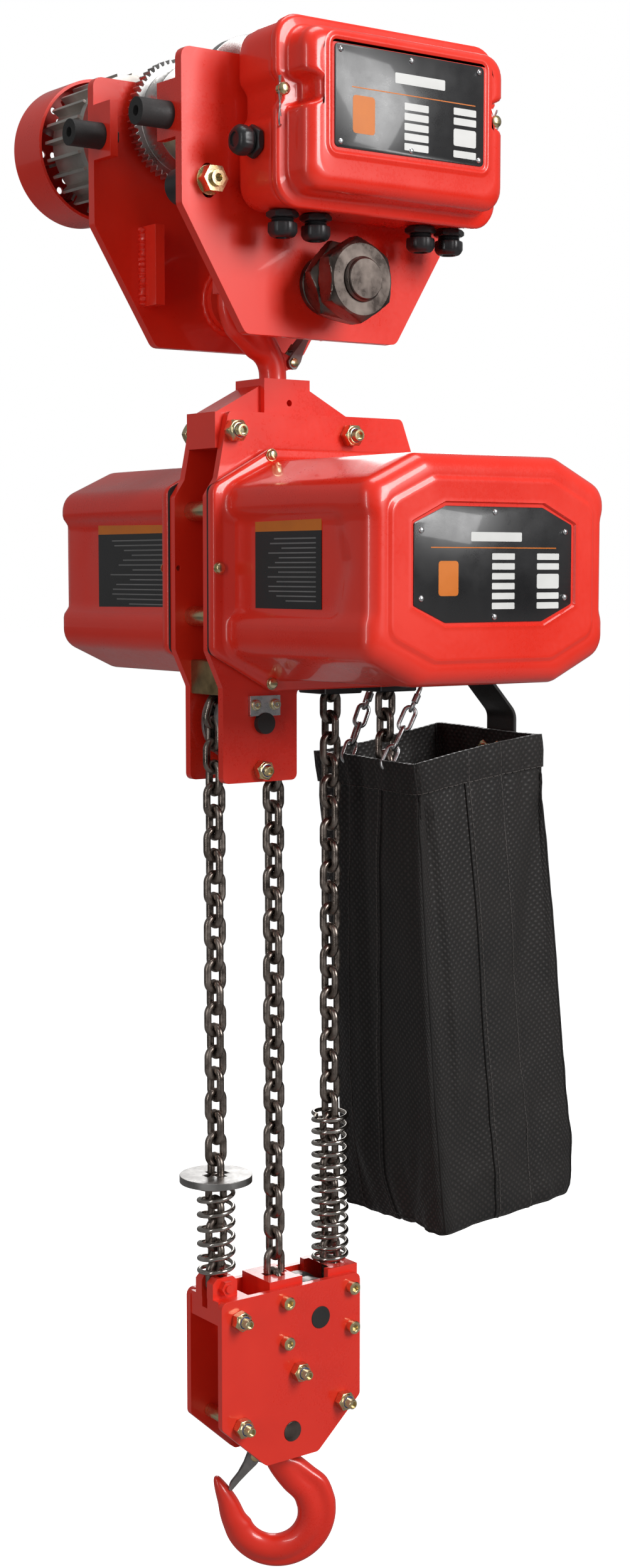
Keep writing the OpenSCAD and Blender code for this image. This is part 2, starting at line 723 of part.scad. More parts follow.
yoke_top = 178;
bar_top = 145;
bar_low = 112;
yoke_bolt_x = 66.5;
yoke_bolt_z = 127.5;
spacer_x = -76;
spacer_zs = [55, -43];
idler_axle_r = 10;
load_shaft_small_r = 12;
rotor_shaft_r = 9;
mid_shaft_r = 8;

module yoke() color(red) in_body() difference() {
    union() {
        block([-26, -gap_half + 0.1, bar_low], [26, gap_half - 0.1, yoke_top]);
        block([-81, -gap_half + 0.1, bar_low], [85, gap_half - 0.1, bar_top]);
        plate_y(-17, 17) polygon([[-78, bar_top - 1], [-25, 172], [25, 172], [79, bar_top - 1]]);
    }
    translate([0, 0, bar_low]) cylinder(r = shank_r + run, h = 80);
    translate([0, 0, bar_low - 1]) cylinder(r = 21.5, h = 25.6);
    for (s = [-1, 1]) rod_y(6, -30, 30, s * yoke_bolt_x, yoke_bolt_z);
    rod_y(3, -30, -shank_r, 2.5, 156);
}

// Both side plates of the hoist frame
module frame_plates() color(red) in_body() both_sides() difference() {
    plate_y(gap_half, frame_out) polygon(rounded([
        [-71.5, 145.5], [130, 145.5], [143, 112], [202, 77], [202, -75], [137, -111],
        [5, -111], [5, -198], [-79, -198], [-79, -109], [-95, -74], [-95, 68], [-84, 84]], 6));
    for (s = [-1, 1]) rod_y(6, gap_half - 1, frame_out + 1, s * yoke_bolt_x, yoke_bolt_z);
    for (z = spacer_zs) rod_y(5, gap_half - 1, frame_out + 1, spacer_x, z);
    for (z = [-50, 40]) rod_y(5, gap_half - 1, frame_out + 1, 184, z);
    rod_y(idler_axle_r, gap_half - 1, frame_out + 1, idler_x, idler_z);
    rod_y(5, gap_half - 1, frame_out + 1, -36, -186.7);
    rod_y(load_shaft_small_r + run, gap_half - 1, frame_out + 1, load_x, load_z);
    rod_y(rotor_shaft_r + run, gap_half - 1, frame_out + 1, motor_x, motor_z);
    rod_y(mid_shaft_r + run, gap_half - 1, frame_out + 1, mid_x, mid_z);
    for (p = flange_holes) rod_y(2.6, gap_half - 1, frame_out + 1, p.x, p.y);
}

// Yoke bolts, the bolt at the foot of the frame, and the spacer rods between the plates
module frame_bolts() color(gold) in_body() {
    for (s = [-1, 1]) lock_bolt(s * yoke_bolt_x, yoke_bolt_z, 6 - eps, 19, frame_out, 17);
    lock_bolt(-36, -186.7, 5 - eps, 17, frame_out, 15);
    for (p = [[spacer_x, spacer_zs[0]], [spacer_x, spacer_zs[1]], [184, -50], [184, 40]]) {
        rod_y(9, -gap_half, gap_half, p.x, p.y);
        both_sides() rod_y(5 - eps, gap_half - eps, frame_out, p.x, p.y);
    }
    difference() {
        rod_y(5.8, -gap_half, gap_half, -36, -186.7);
        rod_y(5, -gap_half - 1, gap_half + 1, -36, -186.7);
    }
}

flange_holes = [[-33, 106], [140, 106], [-33, -105], [140, -105], [-91, 2], [198, 2]];
flange_y = frame_out + 2;
flange_top = flange_y + 11;

cover_cx = 57.5;
cover_cz = 26;
module cover_slice(y, inset)
    translate([cover_x, 0, 0]) plate_y(y, y + 1)
        polygon(octagon(cover_hw - inset, cover_hh - inset, cover_cx - inset * 0.4, cover_cz - inset * 0.2));

// A cover drawn on the +Y side: flange, waisted body with a sloped front edge, hollow inside
module cover(face) difference() {
    union() {
        translate([cover_x, 0, 0]) plate_y(flange_y, flange_top)
            polygon(rounded(octagon(flange_hw, flange_hh, 67.5, 36.5), 7));
        difference() {
            hull() {
                cover_slice(flange_top - 1, 0);
                cover_slice(face - 24, 1);
                cover_slice(face - 9, 9);
                cover_slice(face - 1, 24);
            }
            for (s = [-1, 1]) block([cover_x + s * cover_hw - 5.5, flange_top + 3, -38],
                                    [cover_x + s * cover_hw + 5.5, face - 32, 44]);
        }
    }
    hull() {
        cover_slice(flange_y - 1, 11);
        cover_slice(face - 30, 11);
        cover_slice(face - 9, 30);
    }
    for (p = flange_holes) rod_y(3, flange_y - 1, flange_top + 1, p.x, p.y);
}

module front_cover() color(red) in_body() mirror([0, 1, 0]) cover(cover_face);
module rear_cover() color(red) in_body() cover(rear_face);

module cover_gaskets() color(black) in_body() both_sides() difference() {
    translate([cover_x, 0, 0]) plate_y(frame_out, flange_y) difference() {
        polygon(rounded(octagon(flange_hw - 1, flange_hh - 1, 67, 36), 7));
        polygon(rounded(octagon(cover_hw - 12, cover_hh - 12, 53, 24), 7));
    }
    for (p = flange_holes) rod_y(3, frame_out - 1, flange_y + 1, p.x, p.y);
}

module cover_screws() color(gold) in_body() both_sides() for (p = flange_holes) {
    rod_y(2.5, gap_half + 1, flange_top, p.x, p.y);
    difference() {
        union() {
            rod_y(6, flange_top, flange_top + 1.2, p.x, p.y);
            translate([p.x, flange_top + 1.2, p.y]) rotate([-90, 0, 0])
                cylinder(r1 = 5, r2 = 3.4, h = 3);
        }
        for (a = [0, 90]) translate([p.x, 0, p.y]) rotate([0, a, 0])
            block([-3, flange_top + 2.6, -0.6], [3, flange_top + 5, 0.6]);
    }
}

name_hw = 90;
name_hh = 50;
// The blank nameplate on the front cover and its six rivets
module nameplate() in_body() {
    color(black) translate([cover_x, 0, 5]) plate_y(-cover_face - 0.8, -cover_face)
        polygon(octagon(name_hw, name_hh, 35, 15));
    color(zinc) for (i = [-1, 0, 1], j = [-1, 1])
        rod_y(2.6, -cover_face - 2.2, -cover_face - 0.8, cover_x + i * (i == 0 ? 0 : 82),
              5 + j * (i == 0 ? 45 : 28));
}

// ---------------------------------------------------------------- hoist drive

module motor_stator() in_body() {
    color(zinc) difference() {
        rod_y(60, frame_out, 190, motor_x, motor_z);
        rod_y(33, 50, 178, motor_x, motor_z);
        rod_y(rotor_shaft_r + run, frame_out - 1, 191, motor_x, motor_z);
        for (i = [0:23]) translate([motor_x, 0, motor_z]) rotate([0, 15 * i, 0])
            block([56, 48, -2], [62, 182, 2]);
    }
    color(black) difference() {
        rod_y(48, 190.5, 206, motor_x, motor_z);
        rod_y(14, 190, 207, motor_x, motor_z);
    }
}

// The rotor with its shaft, the pinion at the gear end and the brake disc at the other
module motor_rotor() color(steel) in_body() {
    rod_y(rotor_shaft_r, -86, 214, motor_x, motor_z);
    rod_y(7, -110, -102, motor_x, motor_z);
    rod_y(32, 56, 172, motor_x, motor_z);
    rod_y(46, 207, 212, motor_x, motor_z);
    gear_y(small_teeth, motor_module,
           mesh_phase(0, clutch_teeth, small_teeth, motor_angle), -103, -85, motor_x, motor_z);
}

module clutch_gear() color(steel) in_body() difference() {
    union() {
        gear_y(clutch_teeth, motor_module, 0, -102, -86, mid_x, mid_z);
        rod_y(26, -86, -80, mid_x, mid_z);
    }
    rod_y(mid_shaft_r + run, -103, -79, mid_x, mid_z);
}

pinion_2_phase = mesh_phase(0, load_teeth, small_teeth, stage_angle);
module intermediate_shaft() color(steel) in_body() {
    rod_y(mid_shaft_r, -110, -gap_half - 1, mid_x, mid_z);
    gear_y(small_teeth, load_module, pinion_2_phase, -64, -44, mid_x, mid_z);
    rod_y(24, -79.5, -73, mid_x, mid_z);
    rod_y(14, -73, -68, mid_x, mid_z);
}

module load_wheel() color([0.4, 0.38, 0.36]) in_body() {
    pocket_wheel(load_x, load_z, load_shaft_small_r - eps);
    rod_y(load_shaft_small_r, -110, frame_out, load_x, load_z);
    gear_y(load_teeth, load_module, 0, -64, -44, load_x, load_z);
    both_sides() rod_y(20, pocket_half_w - eps, gap_half - 0.5, load_x, load_z);
}

case_outer = rounded([[-36, 70], [-20, 81], [130, 81], [172, 60], [172, -60], [128, -86], [-20, -86],
                      [-36, -72]], 8);
case_inner = rounded([[-31, 67], [-18, 76], [128, 76], [167, 57], [167, -57], [126, -81], [-18, -81],
                      [-31, -69]], 6);
// The gear case between the front frame plate and the cover
module gear_case() color(steel) in_body() difference() {
    plate_y(-112, -frame_out) polygon(case_outer);
    plate_y(-106, -frame_out + 1) polygon(case_inner);
    rod_y(load_shaft_small_r + run, -113, -100, load_x, load_z);
    rod_y(mid_shaft_r + run, -113, -100, mid_x, mid_z);
    rod_y(7 + run, -113, -100, motor_x, motor_z);
}

module idler_wheel() color([0.4, 0.38, 0.36]) in_body()
    pocket_wheel(idler_x, idler_z, idler_axle_r + run);

module idler_axle() color(black) in_body() difference() {
    rod_y(idler_axle_r - eps, -frame_out - 6, frame_out, idler_x, idler_z);
    block([idler_x - 12, -frame_out - 5, idler_z + 6.5], [idler_x + 12, -frame_out, idler_z + 12]);
}

// The keeper plate that locks the idler axle, with its two screws
module axle_retainer() color(zinc) in_body() {
    block([idler_x - 17, -frame_out - 4.2, idler_z + 7], [idler_x + 17, -frame_out, idler_z + 26]);
    for (s = [-1, 1]) rod_y(4.6, -frame_out - 7.4, -frame_out - 4.2 + eps, idler_x + s * 11, idler_z + 17.5);
}

// Black guides under the body for the lifting fall and the slack fall, and the idler's shoe
module chain_guides() in_body() {
    color(black) for (x = [fall_3_x, slack_x]) difference() {
        block([x - 23, -gap_half + 0.1, -118], [x + 23, gap_half - 0.1, -98]);
        cross_slot(x, -119, -97);
    }
    color(gold) difference() {
        block([-78, -gap_half + 0.1, -116], [-40, gap_half - 0.1, -84]);
        rod_y(47.5, -30, 30, idler_x, idler_z);
    }
}

// ---------------------------------------------------------------- chain bag

bag_top_x = 193;
bag_top_z = -176.5;
bag_skin = 4;
strap_x = 281;
strap_half = 22;
strap_bolt_z = -182;
module at_bag() translate([bag_top_x, 0, bag_top_z]) rotate([0, bag_lean, 0]) children();

module chain_bag() color(black) in_body() difference() {
    at_bag() difference() {
        block([-bag_l / 2, -bag_w / 2, -bag_d], [bag_l / 2, bag_w / 2, 0]);
        block([-bag_l / 2 + bag_skin, -bag_w / 2 + bag_skin, -bag_d + bag_skin],
              [bag_l / 2 - bag_skin, bag_w / 2 - bag_skin, 1]);
    }
    for (y = [-11, 11]) rod_x(4.5, 250, 300, y, strap_bolt_z);
}

// One link of the zinc hanger chain, long axis along Z
small_wire = 3.2;
small_crown = 5;
small_eye = 7.2;
module small_link() {
    for (s = [0, 1]) mirror([0, 0, s]) translate([0, 0, small_eye]) rotate([90, 0, 0])
        rotate_extrude(angle = 180) translate([small_crown, 0]) circle(d = small_wire, $fn = 16);
    for (s = [-1, 1]) translate([s * small_crown, 0, -small_eye])
        cylinder(d = small_wire, h = 2 * small_eye, $fn = 16);
}

// A row of hanger links from a down to b
module hanger(a, b, links) {
    d = b - a;
    reach = norm(d);
    step = reach / links;
    translate(a) rotate([0, acos(d.z / reach), atan2(d.y, d.x)]) for (i = [0:links - 1])
        translate([0, 0, (i + 0.5) * step]) rotate([0, 0, 90 * i + 20]) small_link();
}

module bag_hangers() in_body() {
    color(zinc) {
        hanger([131, 20, -124], [98, 36, -190], 4);
        hanger([154, -20, -124], [94, -31, -192], 5);
    }
    color(black) difference() {
        union() {
            plate_y(-strap_half, strap_half) polygon([[202, -22], [206, -22], [206, -58],
                [strap_x + 4, -146], [strap_x + 4, -200], [strap_x, -200], [strap_x, -148],
                [202, -60]]);
            block([202, -31, -58], [206, 31, -22]);
        }
        for (y = [-11, 11]) rod_x(4.5, strap_x - 1, strap_x + 5, y, strap_bolt_z);
    }
    color(gold) for (y = [-11, 11]) {
        rod_x(4, 258, strap_x + 4, y, strap_bolt_z);
        hex_x(13, strap_x + 4, 5.5, y, strap_bolt_z);
        difference() {
            hex_x(13, 263, 7, y, strap_bolt_z);
            rod_x(4, 262, 271, y, strap_bolt_z);
        }
    }
}

// ---------------------------------------------------------------- lower block

block_top = -694;
sheave_axle_r = 11;
trunnion_r = 10;
guide_low = -757;
guide_top = -687;
corner_bolts = [[-60.5, -819.8], [60.5, -819.8], [7, -778.6]];
anchor_side_bolt = [-62.5, -713.7];
guide_screws = [[-8, -707], [71, -707], [-8, -747], [71, -747]];

module block_plates() color(red) in_body() both_sides() difference() {
    plate_y(block_gap, block_out) polygon(rounded([[-82.5, block_top], [82.5, block_top],
        [82.5, -819], [31, -866.3], [-31, -866.3], [-82.5, -819]], 7));
    rod_y(sheave_axle_r, block_gap - 1, block_out + 1, sheave_x, sheave_z);
    rod_y(trunnion_r + run, block_gap - 1, block_out + 1, 0, trunnion_z);
    for (p = concat(corner_bolts, [anchor_side_bolt]))
        rod_y(5, block_gap - 1, block_out + 1, p.x, p.y);
    for (p = guide_screws) rod_y(4, block_gap - 1, block_out + 1, p.x, p.y);
}

module block_bolts() color(gold) in_body() {
    for (p = corner_bolts) {
        lock_bolt(p.x, p.y, 5 - eps, 17, block_out, 19);
        difference() {
            rod_y(6.5, -block_gap, block_gap, p.x, p.y);
            rod_y(5, -block_gap - 1, block_gap + 1, p.x, p.y);
        }
    }
    lock_bolt(anchor_side_bolt.x, anchor_side_bolt.y, 5 - eps, 17, block_out, 19);
    both_sides() for (p = guide_screws) cap_screw(p.x, p.y, 4 - eps, block_out, block_t + 6);
}

module block_sheave() color([0.4, 0.38, 0.36]) in_body()
    pocket_wheel(sheave_x, sheave_z, sheave_axle_r + run, sheave_rim_r);

module sheave_axle() color(black) in_body()
    rod_y(sheave_axle_r - eps, -block_out - 0.6, block_out + 0.6, sheave_x, sheave_z);

// Guide blocks over the sheave for the middle fall and the lifting fall
module guide_block(x0, x1, x) difference() {
    block([x0, -block_gap + 0.1, guide_low], [x1, block_gap - 0.1, guide_top]);
    rod_y(48, -pocket_half_w - 1, pocket_half_w + 1, sheave_x, sheave_z);
    cross_slot(x, guide_low - 1, guide_top + 1);
    for (p = guide_screws) both_sides() rod_y(4, -30, -block_gap + 6.2, p.x, p.y);
}

module block_guides() color(red) in_body() {
    guide_block(-22, 17, 0);
    guide_block(48, 84, fall_3_x);
}

// The clevis that holds the end of the chain, with its bolt
anchor_half = 14;
anchor_top = -675;
module chain_anchor() in_body() {
    color(red) difference() {
        union() {
            block([-81.5, -block_gap + 0.1, -718], [-46, block_gap - 0.1, block_top - 1]);
            plate_y(-15, 15) translate([fall_1_x, 0]) polygon([[-anchor_half, block_top - 2],
                [-anchor_half, anchor_top - 5], [-anchor_half + 5, anchor_top],
                [anchor_half - 5, anchor_top], [anchor_half, anchor_top - 5], [anchor_half, block_top - 2]]);
        }
        block([fall_1_x - 30, -wire_d / 2 - 1, -706], [fall_1_x + 12.8, wire_d / 2 + 1, anchor_top + 1]);
        rod_y(12.8, -5, 5, fall_1_x, anchor_z - 4);
        cross_slot(fall_1_x, anchor_bolt_z - 2 + 4, anchor_top + 1);
        rod_y(anchor_bolt_r + eps, -20, 20, fall_1_x, anchor_bolt_z);
        rod_y(5, -30, 30, anchor_side_bolt.x, anchor_side_bolt.y);
    }
    color(gold) {
        rod_y(anchor_bolt_r, -24, 20, fall_1_x, anchor_bolt_z);
        hex_y(13, -15, 6.5, fall_1_x, anchor_bolt_z);
        hex_y(13, 20.3, 5.3, fall_1_x, anchor_bolt_z);
    }
}

// A coil spring about Z with closed ends: wire radius w, mean radius r, from z0 to z1
module coil(x, z0, z1, r, w, turns) {
    steps = floor(turns * 16);
    loops = [for (i = [0:steps])
        let (a = 360 * turns * i / steps, t = i / steps, edge = 1 / turns,
             f = t < edge ? t * t / (2 * edge)
                 : t > 1 - edge ? 1 - edge - (1 - t) * (1 - t) / (2 * edge) : t - edge / 2,
             z = z0 + w + (z1 - z0 - 2 * w) * f / (1 - edge))
        [for (k = [0:5]) [x + (r + w * cos(60 * k)) * cos(a), (r + w * cos(60 * k)) * sin(a),
                          z + w * sin(60 * k)]]];
    skin(loops);
}

spring_r = 16.8;
spring_wire_r = 2;
disc_low = -584;
disc_t = 7;
disc_r = 35;
module short_spring() color(zinc) in_body()
    coil(fall_1_x, anchor_top + 0.2, disc_low - 0.2, spring_r, spring_wire_r, 7);
module long_spring() color(zinc) in_body()
    coil(fall_3_x, guide_top + 0.2, -534, spring_r, spring_wire_r, 13.5);

module stop_disc() color(zinc) in_body() difference() {
    translate([fall_1_x, 0, disc_low]) cylinder(r = disc_r, h = disc_t, $fn = 64);
    cross_slot(fall_1_x, disc_low - 1, disc_low + disc_t + 1);
}

hook_bowl_z = trunnion_z - 93;
head_half_x = 25;
head_half_z = 17;
module crosshead() color(steel) in_body() difference() {
    union() {
        block([-head_half_x, -block_gap + 0.2, trunnion_z - head_half_z],
              [head_half_x, block_gap - 0.2, trunnion_z + head_half_z]);
        rod_y(trunnion_r, -block_out - 0.6, block_out + 0.6, 0, trunnion_z);
    }
    translate([0, 0, trunnion_z - 30]) cylinder(r = shank_r + run, h = 60);
}

module at_lower_hook() in_body() translate([0, 0, hook_bowl_z]) rotate([0, 0, hook_turn]) children();
nut_low = 93 + head_half_z + 0.2;
module lower_hook() color(red) at_lower_hook() {
    hook_forging(nut_low - 1);
    translate([0, 0, nut_low - 1 - eps]) cylinder(r = shank_r - 2 - eps, h = 17);
    hook_nut(nut_low, 15);
}

module lower_latch() color(zinc) at_lower_hook() latch();

// ---------------------------------------------------------------- nodes

trolley_plate_front();
trolley_plate_rear();
load_shaft();
load_shaft_nuts();
bumpers();
trolley_axles();
control_box();
control_box_lid();
cable_glands();
lid_hardware();
contactors();
travel_motor();
fan_cowl();
travel_gearbox();
travel_rotor();
travel_pinion();
drive_wheel_left();
drive_wheel_right();
idle_wheel_left();
idle_wheel_right();
guide_roller_left();
guide_roller_right();
top_hook();
top_latch();
yoke();
frame_plates();
frame_bolts();
front_cover();
rear_cover();
cover_gaskets();
cover_screws();
nameplate();
motor_stator();
gear_case();
idler_axle();
axle_retainer();
chain_guides();
chain_bag();
bag_hangers();
load_chain_upper();
motor_rotor();
clutch_gear();
intermediate_shaft();
load_wheel();
idler_wheel();
block_plates();
block_sheave();
sheave_axle();
block_guides();
chain_anchor();
block_bolts();
short_spring();
long_spring();
stop_disc();
crosshead();
lower_hook();
lower_latch();
load_chain_lower();
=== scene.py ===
"""Electric chain hoist on a beam trolley: the looks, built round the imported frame.

Shapes are worked out in millimetres in the frame's own axes, and become metres when a piece is made.
"""

import json
import math
import random

import bmesh
import bpy
from mathutils import Matrix, Vector, noise


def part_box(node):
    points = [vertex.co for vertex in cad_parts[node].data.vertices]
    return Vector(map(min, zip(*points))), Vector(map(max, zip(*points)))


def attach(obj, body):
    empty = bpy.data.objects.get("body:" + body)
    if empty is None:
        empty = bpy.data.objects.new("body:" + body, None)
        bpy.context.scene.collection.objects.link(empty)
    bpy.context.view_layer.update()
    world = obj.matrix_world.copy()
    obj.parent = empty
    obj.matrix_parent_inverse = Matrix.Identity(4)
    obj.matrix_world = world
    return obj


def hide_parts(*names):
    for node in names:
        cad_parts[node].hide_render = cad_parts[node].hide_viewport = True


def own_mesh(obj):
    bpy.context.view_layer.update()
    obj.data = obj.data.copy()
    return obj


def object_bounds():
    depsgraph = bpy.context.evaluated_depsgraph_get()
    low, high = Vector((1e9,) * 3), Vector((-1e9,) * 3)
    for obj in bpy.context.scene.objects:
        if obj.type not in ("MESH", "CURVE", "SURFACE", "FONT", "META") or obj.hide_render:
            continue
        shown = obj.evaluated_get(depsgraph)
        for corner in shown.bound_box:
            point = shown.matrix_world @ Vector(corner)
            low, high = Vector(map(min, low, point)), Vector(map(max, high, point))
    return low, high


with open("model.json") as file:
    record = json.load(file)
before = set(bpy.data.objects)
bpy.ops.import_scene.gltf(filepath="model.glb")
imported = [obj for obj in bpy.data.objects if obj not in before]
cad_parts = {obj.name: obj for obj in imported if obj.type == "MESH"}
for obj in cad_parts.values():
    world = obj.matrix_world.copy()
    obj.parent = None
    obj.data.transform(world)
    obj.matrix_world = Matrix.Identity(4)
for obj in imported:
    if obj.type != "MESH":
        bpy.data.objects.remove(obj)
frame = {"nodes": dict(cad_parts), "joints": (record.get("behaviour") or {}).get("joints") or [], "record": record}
cad_low, cad_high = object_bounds()
nodes = frame["nodes"]
MM = 0.001
TAU = 2 * math.pi
random.seed(7)


# ---- places from the frame

def box(name):
    """Lowest and highest corners of a CAD node, in millimetres."""
    low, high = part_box(name)
    return low / MM, high / MM


def joint_at(name):
    """Where a joint's axis is, in millimetres."""
    found = next(j for j in frame["joints"] if j["name"] == name)
    return Vector(found["pos_m"]) / MM


cover_low, cover_high = box("front_cover")
hoist_z = (cover_low.z + cover_high.z) / 2
idler = joint_at("idler_wheel_spin")
load_wheel = joint_at("load_wheel_spin")
sheave = joint_at("block_sheave_spin")
fall_3_x = 2 * sheave.x
slack_x = 2 * load_wheel.x - fall_3_x


# ---- materials

def new_tree(name):
    mat = bpy.data.materials.new(name)
    mat.use_nodes = True
    tree = mat.node_tree
    coords = tree.nodes.new("ShaderNodeTexCoord")
    return mat, tree, tree.nodes["Principled BSDF"], coords.outputs["Object"]


def shader(tree, kind, vector=None, **values):
    """A new shader node with its vector linked and its input values set."""
    node = tree.nodes.new("ShaderNode" + kind)
    for name, value in values.items():
        node.inputs[name.replace("_", " ")].default_value = value
    if vector is not None:
        tree.links.new(vector, node.inputs["Vector"])
    return node


def noise_node(tree, vector, scale, detail):
    return shader(tree, "TexNoise", vector, Scale=scale, Detail=detail, Roughness=0.55).outputs["Fac"]


def spread(tree, value, low, high, start=0.3, end=0.7):
    """Maps a 0 to 1 value to low..high."""
    node = shader(tree, "MapRange", From_Min=start, From_Max=end, To_Min=low, To_Max=high)
    tree.links.new(value, node.inputs["Value"])
    return node.outputs["Result"]


def blend_colors(tree, factor, a, b):
    """Mixes colours a and b, each a tuple or a socket."""
    node = tree.nodes.new("ShaderNodeMix")
    node.data_type = "RGBA"
    tree.links.new(factor, node.inputs["Factor"])
    for socket, value in ((node.inputs[6], a), (node.inputs[7], b)):
        if isinstance(value, tuple):
            socket.default_value = (*value, 1)
        else:
            tree.links.new(value, socket)
    return node.outputs[2]


def bump_node(tree, height, strength, distance, normal=None):
    node = shader(tree, "Bump", Strength=strength, Distance=distance)
    tree.links.new(height, node.inputs["Height"])
    if normal is not None:
        tree.links.new(normal, node.inputs["Normal"])
    return node.outputs["Normal"]


def finish(name, light, dark, rough, metal=0.0, coat=0.0, grain=600.0, bump=0.2, depth=0.05,
           patches=25.0, rough_spread=0.25):
    """A surface with patchy colour and roughness and a fine grain."""
    mat, tree, bsdf, at = new_tree(name)
    patch = noise_node(tree, at, patches, 4)
    color = blend_colors(tree, spread(tree, patch, 0, 1), dark, light)
    tree.links.new(color, bsdf.inputs["Base Color"])
    fine = noise_node(tree, at, grain, 3)
    both = tree.nodes.new("ShaderNodeMath")
    both.operation = "MULTIPLY_ADD"
    both.inputs[1].default_value = 0.5
    tree.links.new(fine, both.inputs[0])
    half = spread(tree, patch, 0, 0.5)
    tree.links.new(half, both.inputs[2])
    tree.links.new(spread(tree, both.outputs[0], rough * (1 - rough_spread), rough * (1 + rough_spread)),
                   bsdf.inputs["Roughness"])
    bsdf.inputs["Metallic"].default_value = metal
    bsdf.inputs["Coat Weight"].default_value = coat
    bsdf.inputs["Coat Roughness"].default_value = 0.06
    if bump:
        tree.links.new(bump_node(tree, fine, bump, depth * MM), bsdf.inputs["Normal"])
    return mat


def lathe_lines(mat):
    """Adds fine turned lines along Y to a material's bump."""
    tree = mat.node_tree
    bsdf = tree.nodes["Principled BSDF"]
    at = next(n for n in tree.nodes if n.type == "TEX_COORD").outputs["Object"]
    wave = shader(tree, "TexWave", at, Scale=1 / (0.7 * MM) / TAU, Distortion=1.5, Detail=2)
    wave.bands_direction = "Y"
    old = bsdf.inputs["Normal"].links[0].from_socket if bsdf.inputs["Normal"].is_linked else None
    tree.links.new(bump_node(tree, wave.outputs["Fac"], 0.25, 0.04 * MM, old), bsdf.inputs["Normal"])
    return mat


THREAD_PITCH = 2.1


def weave():
    """Coarse black woven mesh: two threads crossing at a slant, worked from the piece's UV in metres."""
    mat, tree, bsdf, at = new_tree("bag_weave")
    uv = tree.nodes.new("ShaderNodeTexCoord").outputs["UV"]
    threads = []
    for turn in (45, -45):
        slant = shader(tree, "Mapping", uv, Rotation=(0, 0, math.radians(turn))).outputs["Vector"]
        threads.append(shader(tree, "TexWave", slant, Scale=1 / (THREAD_PITCH * MM) / TAU, Distortion=0.5,
                              Detail_Scale=3).outputs["Fac"])
    cell = tree.nodes.new("ShaderNodeMath")
    cell.operation = "MULTIPLY"
    tree.links.new(threads[0], cell.inputs[0])
    tree.links.new(threads[1], cell.inputs[1])
    patch = noise_node(tree, at, 14, 5)
    # Painted light on the weave: the gaps between threads get a painted shade (very dark, in random patches) and
    # the thread tops get a painted highlight, blended by the weave pattern.
    patchy_gap_shade = blend_colors(tree, spread(tree, patch, 0, 1), (0.0035, 0.003, 0.0028), (0.010, 0.008, 0.007))
    painted_weave_light = blend_colors(tree, spread(tree, cell.outputs[0], 0, 1, 0.2, 0.9), patchy_gap_shade, (0.026, 0.021, 0.019))
    tree.links.new(painted_weave_light, bsdf.inputs["Base Color"])
    tree.links.new(spread(tree, cell.outputs[0], 0.75, 0.42, 0, 1), bsdf.inputs["Roughness"])
    bsdf.inputs["Sheen Weight"].default_value = 0.1
    bsdf.inputs["Sheen Roughness"].default_value = 0.4
    tree.links.new(bump_node(tree, cell.outputs[0], 0.8, 0.5 * MM), bsdf.inputs["Normal"])
    return mat


PAINT = finish("red_enamel", (0.90, 0.032, 0.012), (0.82, 0.024, 0.010), 0.34, coat=0.5, grain=330,
               bump=0.10, depth=0.06, patches=9)
PLATE_BLACK = finish("printed_black", (0.016, 0.016, 0.017), (0.011, 0.011, 0.012), 0.34, coat=0.25,
                     grain=900, bump=0.05)
PLASTIC = finish("black_nylon", (0.022, 0.022, 0.024), (0.014, 0.014, 0.015), 0.36, grain=500, bump=0.15)
RUBBER = finish("black_rubber", (0.026, 0.025, 0.025), (0.013, 0.013, 0.013), 0.62, grain=700, bump=0.4)
BLACK_STEEL = finish("black_coat", (0.022, 0.021, 0.020), (0.012, 0.011, 0.011), 0.48, grain=420, bump=0.3)
OXIDE = lathe_lines(finish("dark_oxide", (0.20, 0.165, 0.145), (0.085, 0.068, 0.060), 0.33, metal=0.95,
                           grain=300, bump=0.2, patches=60))
STEEL = finish("machined_steel", (0.62, 0.61, 0.60), (0.45, 0.44, 0.43), 0.30, metal=1, grain=800, bump=0.2)
SPRING = finish("spring_steel", (0.60, 0.56, 0.52), (0.30, 0.27, 0.24), 0.16, metal=1, grain=500, bump=0.1,
                patches=90)
ZINC = finish("bright_zinc", (0.76, 0.77, 0.78), (0.55, 0.56, 0.57), 0.30, metal=1, grain=380, bump=0.3,
              patches=70)
DISC = finish("disc_zinc", (0.42, 0.41, 0.40), (0.27, 0.26, 0.25), 0.36, metal=1, grain=380, bump=0.4,
              patches=60)
GOLD = finish("yellow_zinc", (0.80, 0.62, 0.30), (0.66, 0.60, 0.42), 0.24, metal=1, grain=500, bump=0.15,
              patches=120)
CHAIN = finish("chain_steel", (0.34, 0.29, 0.255), (0.14, 0.112, 0.096), 0.30, metal=0.95, grain=420,
               bump=0.35, depth=0.12, patches=110, rough_spread=0.4)
CASTING = finish("grey_casting", (0.42, 0.41, 0.40), (0.24, 0.23, 0.22), 0.42, metal=0.8, grain=350, bump=0.6,
                 depth=0.12, patches=80)
ALLOY = finish("cast_alloy", (0.62, 0.60, 0.56), (0.46, 0.44, 0.41), 0.42, metal=0.9, grain=300, bump=0.5,
               depth=0.1)
DEVICE = finish("device_plastic", (0.72, 0.72, 0.69), (0.66, 0.66, 0.63), 0.45, grain=500, bump=0.1)
BRONZE = finish("cast_bronze", (0.42, 0.30, 0.15), (0.26, 0.18, 0.085), 0.40, metal=0.9, grain=300, bump=0.5,
                depth=0.1, patches=70)
BLUE = finish("blue_nylon", (0.03, 0.07, 0.42), (0.02, 0.05, 0.33), 0.4, grain=500, bump=0.1)
WHITE = finish("printed_white", (0.78, 0.78, 0.76), (0.70, 0.70, 0.68), 0.4, grain=900, bump=0.05)
GREY_PRINT = finish("printed_grey", (0.20, 0.20, 0.20), (0.15, 0.15, 0.15), 0.45, grain=900, bump=0.05)
ORANGE = finish("printed_orange", (0.72, 0.20, 0.02), (0.62, 0.16, 0.015), 0.4, grain=900, bump=0.05)
